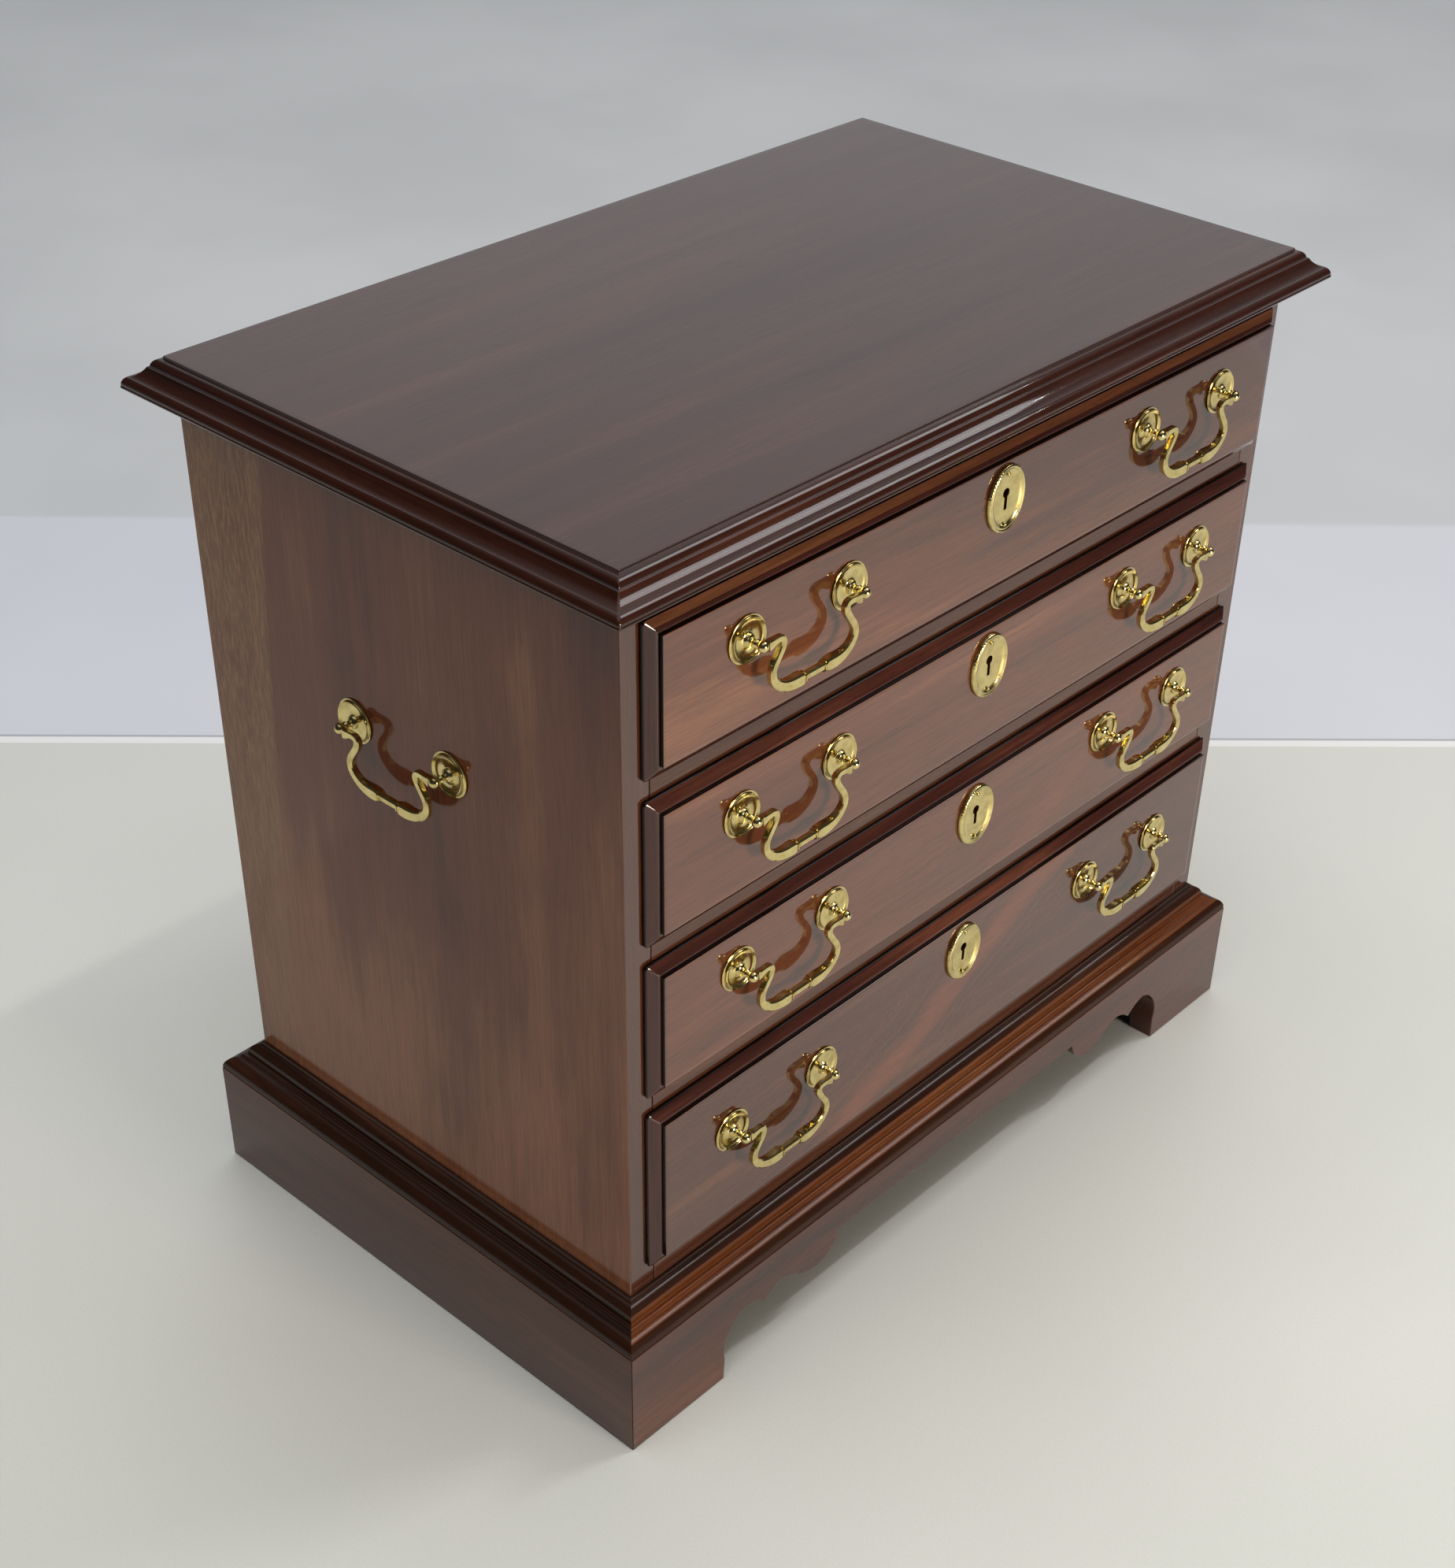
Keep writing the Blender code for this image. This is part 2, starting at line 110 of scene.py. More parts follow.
# Lights: name, place, sides, power, colour, and the kind of ray that doesn't see it. The window shows only
# in reflections, and the tube at the same place lights the table and throws the shadow.
LIGHTS = (
    ("window", (2.10, -0.98, 2.96), (1.37, 1.37), 22, (1.0, 0.98, 1.0), "visible_diffuse"),
    ("tube", (2.10, -0.98, 2.96), (1.40, 0.06), 25, (1.0, 0.98, 1.0), None),
    ("front", (0.05, -2.30, 0.62), (0.60, 0.45), 30, (1.0, 0.90, 0.76), None),
    ("ceiling", (0.30, 0.05, 3.00), (2.4, 2.4), 29, (0.97, 0.985, 1.0), "visible_glossy"),
    ("fill", (-1.20, -0.10, 2.50), (2.2, 2.2), 26, (1.0, 0.99, 0.97), "visible_glossy"),
)

# Room glow: (direction, cosine at which the lobe starts, its strength), over an even glow.
ROOM_GLOW = 0.04
ROOM_COLOUR = (0.94, 0.97, 1.0, 1.0)
GLOWS = (
    ((0.10, 0.00, 1.00), 0.68, 0.70),
    ((0.65, 0.60, 0.45), 0.74, 0.58),
)


# Meshes


def finished_mesh(name, builder, sharp=None):
    """Ends a bmesh as a mesh, smooth but for edges that turn more than sharp degrees, or flat without it."""
    bmesh.ops.recalc_face_normals(builder, faces=builder.faces)
    mesh = bpy.data.meshes.new(name)
    builder.to_mesh(mesh)
    builder.free()
    if sharp is not None:
        mesh.shade_smooth()
        mesh.set_sharp_from_angle(angle=math.radians(sharp))
    return mesh


def linked(name, data):
    """A new object in the scene."""
    obj = bpy.data.objects.new(name, data)
    bpy.context.scene.collection.objects.link(obj)
    return obj


def make_object(name, builder, body, materials, sharp=30.0, replaced=()):
    """Ends a bmesh as a piece of the object, riding on a body."""
    return place(name, finished_mesh(name, builder, sharp), body, materials, replaced)


def place(name, mesh, body, materials, replaced=(), matrix=None):
    """A piece with this mesh, which other pieces may share, riding on a body."""
    obj = linked(name, mesh)
    if not mesh.materials:
        for material in materials:
            mesh.materials.append(material)
    if matrix is not None:
        obj.matrix_world = matrix
    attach(obj, body)
    if replaced:
        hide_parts(*replaced)
    return obj


def add_loft(builder, rings, caps=True, closed=False):
    """Faces through rings of as many points each. Returns the faces of each span between rings."""
    loops = [[builder.verts.new(point) for point in ring] for ring in rings]
    spans = list(zip(loops, loops[1:]))
    if closed:
        spans.append((loops[-1], loops[0]))
    made = []
    for low, high in spans:
        faces = []
        for i in range(len(low)):
            j = (i + 1) % len(low)
            faces.append(builder.faces.new((low[i], low[j], high[j], high[i])))
        made.append(faces)
    if caps and not closed:
        made.append([builder.faces.new(list(reversed(loops[0])))])
        made.append([builder.faces.new(loops[-1])])
    return made


def round_the_circle(count):
    """The (cosine, sine) of count even directions round the circle."""
    angles = [2 * math.pi * i / count for i in range(count)]
    return [(math.cos(angle), math.sin(angle)) for angle in angles]


def bezier_corner(before, corner, after, size, steps):
    """Points that round one corner of a polyline."""
    start = corner + (before - corner).normalized() * size
    end = corner + (after - corner).normalized() * size
    points = []
    for i in range(steps + 1):
        t = i / steps
        points.append(start * (1 - t) ** 2 + corner * 2 * t * (1 - t) + end * t * t)
    return points


# The most that a rounded corner takes of the shorter edge beside it.
CORNER_SHARE = 0.45


def softened(points, radius, closed=False, steps=3, least_turn=18.0):
    """A polyline of 2-D points with each real corner rounded off by up to radius."""
    points = [Vector(p) for p in points]
    out = []
    count = len(points)
    for i, corner in enumerate(points):
        if not closed and i in (0, count - 1):
            out.append(corner)
            continue
        before, after = points[i - 1], points[(i + 1) % count]
        arriving, leaving = corner - before, after - corner
        if math.degrees(arriving.angle(leaving)) < least_turn:
            out.append(corner)
            continue
        size = min(radius, CORNER_SHARE * arriving.length, CORNER_SHARE * leaving.length)
        out += bezier_corner(before, corner, after, size, steps)
    return out


def arc(start, end, rise, steps=8):
    """Points of a circular arc from start to end. A positive rise bulges to the left of the way it runs."""
    start, end = Vector(start), Vector(end)
    chord = end - start
    radius = (chord.length_squared / 4 + rise * rise) / (2 * rise)
    left = Vector((-chord.y, chord.x)).normalized()
    centre = (start + end) / 2 + left * (rise - radius)
    first = math.atan2(start.y - centre.y, start.x - centre.x)
    last = math.atan2(end.y - centre.y, end.x - centre.x)
    sweep = (last - first + math.pi) % (2 * math.pi) - math.pi
    angles = [first + sweep * i / steps for i in range(steps + 1)]
    return [centre + abs(radius) * Vector((math.cos(a), math.sin(a))) for a in angles]


def spline(points, per_span):
    """A smooth curve (Catmull-Rom) through tuples of numbers, per_span points to each span."""
    points = [Vector(p) for p in points]
    ends = [2 * points[0] - points[1]] + points + [2 * points[-1] - points[-2]]
    out = []
    for i in range(1, len(ends) - 2):
        p0, p1, p2, p3 = ends[i - 1 : i + 3]
        for k in range(per_span):
            t = k / per_span
            square, cube = 2 * p0 - 5 * p1 + 4 * p2 - p3, 3 * p1 - p0 - 3 * p2 + p3
            out.append(0.5 * (2 * p1 + (p2 - p0) * t + square * t * t + cube * t**3))
    out.append(points[-1])
    return out


def rounded_rectangle(half_a, low_b, high_b, radius, steps=5):
    """A closed outline of (a, b) points with round corners."""
    outline = []
    corners = ((half_a, low_b), (half_a, high_b), (-half_a, high_b), (-half_a, low_b))
    for (a, b), start in zip(corners, (-90, 0, 90, 180)):
        centre_a = a - math.copysign(radius, a)
        centre_b = b + radius if b == low_b else b - radius
        for step in range(steps + 1):
            angle = math.radians(start + 90 * step / steps)
            outline.append((centre_a + radius * math.cos(angle), centre_b + radius * math.sin(angle)))
    return outline


def board(name, low, high, body, slot, material, arris=ARRIS, replaced=()):
    """A board as a piece, with its edges eased."""
    builder = bmesh.new()
    centre = (Vector(low) + Vector(high)) / 2
    size = Vector(high) - Vector(low)
    matrix = Matrix.Translation(centre) @ Matrix.Diagonal((*size, 1.0))
    made = bmesh.ops.create_cube(builder, size=1.0, matrix=matrix)
    edges = list({edge for vert in made["verts"] for edge in vert.link_edges})
    bmesh.ops.bevel(builder, geom=edges, offset=arris, segments=2, profile=0.5, affect="EDGES")

    return make_object(name, builder, body, [material], 15.0, replaced)


# A turned shape's axis keeps this radius in millimetres, so that its cap has an area.
LEAST_RADIUS = 0.01


def lathe(builder, profile, segments):
    """A turned shape about local Y from (radius, distance out along -Y) points, in millimetres."""
    rings = []
    for radius, out in profile:
        r = max(radius, LEAST_RADIUS) * MM
        rings.append([(r * across, -out * MM, r * up) for across, up in round_the_circle(segments)])
    return add_loft(builder, rings)


# Materials


# Sockets of a Mix node set to colours: its factor and two colours, and its result.
MIX_INPUTS = (0, 6, 7)
MIX_OUTPUT = 2


class Graph:
    """The nodes of a material or a world, with short calls to add and join them."""

    def __init__(self, owner):
        self.material = owner
        owner.use_nodes = True
        self.tree = owner.node_tree

    def add(self, kind, settings=(), **inputs):
        node = self.tree.nodes.new(kind)
        for key, value in dict(settings).items():
            setattr(node, key, value)
        for key, value in inputs.items():
            self.feed(node.inputs[key.replace("_", " ")], value)
        return node

    def feed(self, socket, value):
        if isinstance(value, bpy.types.NodeSocket):
            self.tree.links.new(value, socket)
        else:
            socket.default_value = value

    def noise(self, vector, scale, detail=3.0, roughness=0.5):
        """Noise in a vector, at one scale or at a scale for each axis."""
        if isinstance(scale, tuple):
            vector, scale = self.stretch(vector, scale), 1.0
        settings = {"Scale": scale, "Detail": detail, "Roughness": roughness}
        return self.add("ShaderNodeTexNoise", Vector=vector, **settings).outputs["Fac"]

    def stretch(self, vector, scale, location=(0, 0, 0)):
        node = self.add("ShaderNodeMapping", Vector=vector, Scale=scale, Location=location)
        return node.outputs["Vector"]

    def math(self, operation, first, second=0.0, clamp=False):
        node = self.add("ShaderNodeMath", {"operation": operation, "use_clamp": clamp})
        self.feed(node.inputs[0], first)
        self.feed(node.inputs[1], second)
        return node.outputs[0]

    def plus(self, first, second):
        return self.math("ADD", first, second)

    def minus(self, first, second):
        return self.math("SUBTRACT", first, second)

    def times(self, first, second):
        return self.math("MULTIPLY", first, second)

    def range(self, value, low, high, to_low=0.0, to_high=1.0):
        """The value eased from low..high to to_low..to_high, and held beyond it."""
        node = self.add("ShaderNodeMapRange", {"interpolation_type": "SMOOTHSTEP", "clamp": True})
        for index, item in enumerate((value, low, high, to_low, to_high)):
            self.feed(node.inputs[index], item)
        return node.outputs[0]

    def mix(self, factor, first, second, blend="MIX"):
        node = self.add("ShaderNodeMix", {"data_type": "RGBA", "blend_type": blend})
        for socket, value in zip(MIX_INPUTS, (factor, first, second)):
            self.feed(node.inputs[socket], value)
        return node.outputs[MIX_OUTPUT]

    def bump(self, height, distance, strength):
        node = self.add("ShaderNodeBump", Height=height, Distance=distance, Strength=strength)
        return node.outputs["Normal"]

    def coordinates(self):
        return self.add("ShaderNodeTexCoord").outputs["Object"]

    def split(self, vector):
        node = self.add("ShaderNodeSeparateXYZ", Vector=vector)
        return node.outputs["X"], node.outputs["Y"], node.outputs["Z"]

    def join(self, x, y, z):
        node = self.add("ShaderNodeCombineXYZ", X=x, Y=y, Z=z)
        return node.outputs["Vector"]

    def set(self, **values):
        """Sets the shader's inputs."""
        shader = self.tree.nodes["Principled BSDF"]
        for key, value in values.items():
            self.feed(shader.inputs[key.replace("_", " ")], value)


def rgb(red, green, blue):
    return (red, green, blue, 1.0)


# On the left side, the joint of the paler board: y = z * FLECK_JOINT[0] + FLECK_JOINT[1].
FLECK_JOINT = (-0.078, 0.1057)
FLECK_COLOUR = (0.250, 0.120, 0.046, 1.0)
# How far the flames on the drawers lean: x gained per z.
FLAME_LEAN = 2.1
FLAME_COLOUR = (0.205, 0.052, 0.018, 1.0)

# Index of refraction of the polish, and of the thick polish on the fronts.
POLISH = 1.52
DEEP_POLISH = 1.80

# Palettes: darkest, middle and lightest wood colour.
PALETTES = {
    "side": ((0.08, 0.015, 0.005), (0.145, 0.038, 0.014), (0.25, 0.092, 0.042)),
    "top": ((0.03, 0.009, 0.006), (0.046, 0.015, 0.01), (0.07, 0.025, 0.016)),
    "field": ((0.066, 0.015, 0.006), (0.126, 0.035, 0.013), (0.225, 0.078, 0.033)),
    "field_dark": ((0.034, 0.009, 0.004), (0.074, 0.02, 0.008), (0.14, 0.045, 0.019)),
    # Painted shade: near-black wood for a lip's side and its step, where shadow falls.
    "glaze": ((0.002, 0.001, 0.001), (0.005, 0.002, 0.001), (0.016, 0.005, 0.003)),
    "lip": ((0.012, 0.003, 0.002), (0.052, 0.013, 0.008), (0.15, 0.046, 0.025)),
    "lip_light": ((0.07, 0.02, 0.008), (0.13, 0.042, 0.017), (0.21, 0.08, 0.036)),
    "moulding": ((0.012, 0.003, 0.002), (0.03, 0.007, 0.003), (0.08, 0.022, 0.008)),
    "base_dark": ((0.01, 0.003, 0.002), (0.028, 0.009, 0.004), (0.07, 0.026, 0.012)),
    # A lighter copy of the base moulding's wood, for the painted light on its front band.
    "base": ((0.045, 0.01, 0.002), (0.112, 0.028, 0.005), (0.2, 0.066, 0.013)),
    "rail": ((0.04, 0.011, 0.005), (0.085, 0.027, 0.012), (0.16, 0.062, 0.029)),
    "plinth": ((0.055, 0.017, 0.01), (0.086, 0.028, 0.016), (0.13, 0.046, 0.027)),
    "plain": ((0.3, 0.17, 0.08), (0.42, 0.27, 0.14), (0.52, 0.36, 0.2)),
    "plain_end": ((0.13, 0.062, 0.025), (0.19, 0.1, 0.045), (0.26, 0.15, 0.075)),
    "block": ((0.008, 0.01, 0.007), (0.014, 0.016, 0.012), (0.024, 0.026, 0.019)),
}


# How far one board's figure is moved from the next one's.
BOARD_SHIFT = (0.37, 0.53, 0.71)
# The wood's layers: noise per metre along the grain and across it, its detail and its roughness.
SWAY = (2.2, 9.0, 2.0, 0.5)
BROAD = (2.6, 34, 3.0, 0.5)
BAND = (5, 105, 2.0, 0.5)
STREAK = (13, 330, 3.0, 0.62)
FIBRE = (36, 1300, 3.0, 0.6)
PORE = (120, 2600, 1.0, 0.5)
RIPPLE = (40, 160, 2.0, 0.5)
# How far the grain wanders, in metres.
SWAY_DEPTH = 0.016


def layer(graph, space, values):
    """One of the wood's layers of noise, in a space whose X runs along the grain."""
    along, across, detail, roughness = values
    return graph.noise(space, (along, across, across), detail, roughness)


def centred(graph, value, size):
    """A noise moved to lie evenly about 0, then scaled to this size."""
    return graph.times(graph.minus(value, 0.5), size)


def grain_space(graph, axis, offset):
    """Coordinates whose X runs along the grain, moved so that no two boards share a figure."""
    x, y, z = graph.split(graph.coordinates())
    order = {"X": (x, y, z), "Y": (y, x, z), "Z": (z, y, x)}[axis]
    moved = graph.stretch(graph.join(*order), (1, 1, 1), [offset * shift for shift in BOARD_SHIFT])
    sway = centred(graph, layer(graph, moved, SWAY), SWAY_DEPTH)
    along, across, through = graph.split(moved)
    across = graph.plus(across, sway)
    through = graph.plus(through, graph.times(sway, 0.7))
    return graph.join(along, across, through)


def wood_shade(graph, space, streak, contrast):
    """How light the wood is, from 0 to 1: its broad figure, bands and streaks together."""
    broad = graph.times(layer(graph, space, BROAD), 0.44)
    band = graph.times(layer(graph, space, BAND), 0.30)
    shade = graph.plus(broad, graph.times(streak, 0.26))
    shade = graph.plus(shade, band)
    if contrast != 1.0:
        shade = graph.plus(graph.times(shade, contrast), 0.5 * (1 - contrast))
    return shade


def wood(
    name, palette, axis, offset, coat=0.05, figure=None, inlay=None, shine=1.0, contrast=1.0, ior=POLISH
):
    """Wood whose grain runs along axis, under a clear coat of roughness coat, or plain where coat is None.

    A figure changes how light the wood is, and an inlay its colour.
    """
    graph = Graph(bpy.data.materials.new(name))
    dark, middle, light = [rgb(*colour) for colour in PALETTES[palette]]
    space = grain_space(graph, axis, offset)
    streak, fibre, pore = [layer(graph, space, values) for values in (STREAK, FIBRE, PORE)]
    shade = wood_shade(graph, space, streak, contrast)
    if figure is not None:
        shade = figure(graph, shade)
    colour = graph.mix(graph.range(shade, 0.34, 0.50), dark, middle)
    colour = graph.mix(graph.range(shade, 0.50, 0.68), colour, light)
    if inlay is not None:
        colour = inlay(graph, colour)
    fibre_mask = graph.range(fibre, 0.35, 0.68, 0.84, 1.12)
    colour = graph.mix(1.0, colour, grey(graph, fibre_mask), "MULTIPLY")
    pores = graph.range(pore, 0.62, 0.74)
    pore_shade = graph.minus(1.0, graph.times(pores, 0.35))
    colour = graph.mix(1.0, colour, grey(graph, pore_shade), "MULTIPLY")
    relief = graph.minus(graph.times(fibre, 0.4), pores)
    graph.set(Base_Color=colour, Roughness=graph.range(streak, 0.3, 0.7, 0.36, 0.48))
    graph.set(Normal=graph.bump(relief, 0.00003, 0.5))
    if coat is None:
        graph.set(Roughness=0.62, Specular_IOR_Level=0.3)
        return graph.material
    settled = graph.minus(layer(graph, space, RIPPLE), graph.times(pores, 0.25))
    graph.set(Coat_Weight=shine, Coat_Roughness=coat, Coat_IOR=ior, Specular_IOR_Level=0.05)
    graph.set(Coat_Normal=graph.bump(settled, 0.00001, 0.6))
    return graph.material


def pale_end(graph, shade):
    """A drawer front that runs into paler wood at its left end, and is a little lighter towards its bottom.
    """
    x, _, z = graph.split(graph.coordinates())
    to_left = graph.range(x, 0.13, -0.19, -0.16, 0.10)
    downwards = graph.range(z, 0.385, 0.335, 0.0, 0.05)
    return graph.plus(shade, graph.plus(to_left, downwards))


def flame(centre, width, strength):
    """A drawer front crossed by one reddish flame that leans over, with thinner ones beside it."""

    def inlay(graph, colour):
        x, _, z = graph.split(graph.coordinates())
        drift = graph.noise(graph.coordinates(), (20, 20, 26), 3.0, 0.6)
        upright = graph.minus(x, graph.times(z, FLAME_LEAN))
        slanted = graph.plus(upright, centred(graph, drift, 0.04))
        away = graph.math("ABSOLUTE", graph.minus(slanted, centre))
        thread = graph.noise(graph.join(graph.times(slanted, 170.0), 0.0, 0.0), 1.0, 3.0, 0.6)
        near = graph.range(away, 4 * width, width, 0.0, 0.8)
        beside = graph.times(graph.range(thread, 0.50, 0.66), near)
        amount = graph.math("MAXIMUM", graph.range(away, width, 0.2 * width), beside)
        return graph.mix(graph.times(amount, strength), colour, FLAME_COLOUR)

    return inlay


def clouds_and_painted_shade(graph, shade):
    """A side panel in broad soft clouds, over faint streaks, made lighter towards the bottom as painted shade
    under the top's overhang.
    """
    cloud = graph.noise(graph.coordinates(), (0, 17, 6), 3.0, 0.55)
    _, _, z = graph.split(graph.coordinates())
    # Painted shade: lighter towards the bottom, so darker up under the top's overhang.
    lower = graph.range(z, 0.30, 0.09, 0.0, 0.14)
    return graph.plus(graph.plus(shade, lower), centred(graph, cloud, 0.62))


def fleck_strip(graph, colour):
    """A side panel whose board at the back is a paler one, with short wavy flecks."""
    x, y, z = graph.split(graph.coordinates())
    sway = graph.noise(graph.join(0.0, 0.0, graph.times(z, 22.0)), 1.0, 2.0)
    swayed = graph.plus(y, centred(graph, sway, 6 * MM))
    joint = graph.plus(graph.times(z, FLECK_JOINT[0]), FLECK_JOINT[1])
    past = graph.range(graph.minus(swayed, joint), -1.5 * MM, 1.5 * MM)
    space = graph.join(x, swayed, z)
    fleck = graph.noise(space, (300, 620, 120), 2.0, 0.6)
    ray = graph.noise(space, (300, 130, 26), 2.0)
    fleck, ray = graph.range(fleck, 0.42, 0.62, 0.34, 0.95), graph.range(ray, 0.35, 0.65, -0.16, 0.10)
    depth = graph.times(graph.plus(fleck, ray), graph.range(z, 0.08, 0.22, 0.45, 1.0))
    return graph.mix(graph.math("MULTIPLY", past, depth, True), colour, FLECK_COLOUR)


def grey(graph, value):
    return graph.join(value, value, value)


def brass(name):
    """Polished brass, slightly clouded."""
    graph = Graph(bpy.data.materials.new(name))
    space = graph.coordinates()
    cloud = graph.noise(space, 240, 3.0)
    haze = graph.noise(space, 1500, 2.0)
    colour = graph.mix(graph.range(cloud, 0.35, 0.7), rgb(0.76, 0.63, 0.28), rgb(0.58, 0.46, 0.19))
    graph.set(Base_Color=colour, Metallic=1.0, Roughness=graph.range(haze, 0.3, 0.7, 0.10, 0.20))
    graph.set(Normal=graph.bump(cloud, 0.00002, 0.5))
    return graph.material


# Top


def top_profile():
    """The top's moulded edge as (distance out, height below the flat) in millimetres."""
    points = [(-3.0, 0.0), (-0.3, 0.0), (0.0, 0.02), (0.12, 1.10), (0.55, 1.25)]
    points += arc((0.8, 1.25), (4.1, 3.9), -0.72)
    points += [(4.15, 4.35), (5.0, 4.55)]
    points += arc((5.3, 4.95), (10.4, 8.75), 0.55)
    points += arc((10.7, 8.75), (13.0, 12.0), -0.65)
    points += arc((12.9, 12.25), (12.95, 13.45), -0.30, 5)
    points += [(12.6, 13.7), (9.0, 13.7)]
    return [p * MM for p in softened(points, 0.12)]


# The moulded edge's width, and the radius of its corners with how fast it grows outwards.
TOP_EDGE = 13.2 * MM
TOP_CORNER = 0.4 * MM
TOP_CORNER_GROWTH = 0.06


def make_top(woods):
    """The top board, its edge moulding running along X at the front and back and along Y at the ends."""
    flat_x, flat_y = TOP_HIGH.x - TOP_EDGE, TOP_HIGH.y - TOP_EDGE
    builder = bmesh.new()
    rings = []
    for out, drop in top_profile():
        radius = TOP_CORNER + max(out, 0.0) * TOP_CORNER_GROWTH
        outline = rounded_rectangle(flat_x + out, -flat_y - out, flat_y + out, radius, 4)
        rings.append([(x, y, TOP_HIGH.z - drop) for x, y in outline])
    spans = add_loft(builder, rings)
    for faces in spans[1:-2]:
        for face in faces:
            centre = face.calc_center_median()
            on_end = flat_x - abs(centre.x) < flat_y - abs(centre.y)
            face.material_index = 2 if on_end else 1
    materials = [woods["top"], woods["moulding_x"], woods["moulding_y"]]
    make_object("top_moulded_board", builder, "case", materials, 24.0, ["top_board"])


# Case


PANEL_ARRIS = 0.5 * MM
# A face points to the front where its normal's y is under this.
FRONTWARDS = -0.7
# The flat head of a nail: (radius, distance out) in millimetres.
BRAD = ((0.0, -0.3), (1.0, -0.3), (1.1, 0.1), (0.9, 0.25), (0.0, 0.28))
BRADS_ACROSS = 6
BRADS_UP = 5
BRAD_INSET = 6 * MM
RAILS = ("top_rail", "drawer_divider_1", "drawer_divider_2", "drawer_divider_3")
RAIL_DEPTH = 34 * MM
RUNNER_W = 18 * MM
# The gap that a glued joint shows.
GLUE_LINE = 0.05 * MM


def second_material(obj, material, chosen):
    """Gives the faces that chosen picks a second material."""
    obj.data.materials.append(material)
    for face in obj.data.polygons:
        if chosen(face):
            face.material_index = 1


def make_case(woods):
    """The side boards, whose front edges are stiles, with the back and the bottom."""
    for _, label in HANDS:
        node = f"side_panel_{label}"
        name, material = f"side_board_{label}", woods[f"side_{label}"]
        side = board(name, *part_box(node), "case", "mahogany", material, PANEL_ARRIS, [node])
        second_material(side, woods["stile"], lambda face: face.normal.y < FRONTWARDS)
    low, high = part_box("back_panel")
    board("back_board", low, high, "case", "mahogany", woods["back"], ARRIS, ["back_panel"])
    make_brads(low, high, woods["block"])
    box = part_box("bottom_board")
    board("case_bottom", *box, "case", "mahogany", woods["rail_0"], ARRIS, ["bottom_board"])


def make_brads(low, high, iron):
    """Small nails around the edge of the back board."""
    brad = turned_mesh("brad", BRAD, 12)
    turned = Matrix.Rotation(math.pi, 4, "Z")
    left, right = low.x + BRAD_INSET, high.x - BRAD_INSET
    bottom, top = low.z + BRAD_INSET, high.z - BRAD_INSET
    spots = []
    for index in range(BRADS_ACROSS):
        x = left + (right - left) * index / (BRADS_ACROSS - 1)
        spots += [(x, bottom), (x, top)]
    for index in range(1, BRADS_UP):
        z = bottom + (top - bottom) * index / BRADS_UP
        spots += [(left, z), (right, z)]
    for index, (x, z) in enumerate(spots, start=1):
        at = Matrix.Translation((x, high.y, z)) @ turned
        place(f"brad_{index}", brad, "case", [iron], (), at)


def make_rails(woods):
    """Each rail with its two runners, as separate boards."""
    for index, node in enumerate(RAILS, start=1):
        low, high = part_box(node)
        rail_back = low.y + RAIL_DEPTH
        label = f"rail_{index}"
        board(label, low, (high.x, rail_back, high.z), "case", "mahogany", woods[label], ARRIS, [node])
        for side, name in HANDS:
            xs = sorted((side * high.x, side * (high.x - RUNNER_W)))
            start, end = (xs[0], rail_back + GLUE_LINE, low.z), (xs[1], high.y, high.z)
            board(f"runner_{index}_{name}", start, end, "case", "drawer_lining", woods["plain"])


# Base


# Where the orange band runs along the front of the base moulding: painted light, a lighter copy of the
# moulding's wood where the front light falls.
BAND_LOW = 61.0 * MM
BAND_HIGH = 67.5 * MM
# How far the moulding reaches in under the case, and the plinth boards' thickness and easing.
BASE_INNER = -24.5 * MM
PLINTH_T = 14 * MM
PLINTH_EASE = 0.5 * MM
SCROLL_EASE = 0.4 * MM
BLOCK_ARRIS = 0.8 * MM
# The gap that a mitre shows.
MITRE = 0.02 * MM


def base_profile():
    """The base moulding's face as (distance out from the case, height) in millimetres."""
    points = [(0.35, 71.6), (0.9, 71.4), (1.15, 70.5), (1.7, 70.0)]
    points += arc((1.9, 69.95), (6.0, 64.5), 1.25)
    points += [(6.05, 63.75), (7.0, 63.5)]
    points += arc((7.1, 63.6), (8.9, 62.3), 0.55, 5)
    points += [(9.0, 62.0), (9.5, 61.9)]
    points += arc((9.6, 61.9), (15.35, 56.4), 1.35)
    points += [(15.2, 55.9)]
    return [p * MM for p in softened(points, 0.15)]


def mitred_strip(name, profile, turns, material, replaced, sharp=24.0):
    """A strip along one side of the case, whose (out, z) profile runs into a mitre at both ends."""
    half_length, half_depth = (HALF_W, HALF_D) if turns % 2 == 0 else (HALF_D, HALF_W)
    builder = bmesh.new()
    rings = []
    for end in SIDES:
        rings.append([(end * (half_length + out - MITRE), -(half_depth + out), z) for out, z in profile])
    add_loft(builder, rings)
    builder.transform(Matrix.Rotation(turns * math.pi / 2, 4, "Z"))
    return make_object(name, builder, "case", [material], sharp, replaced)


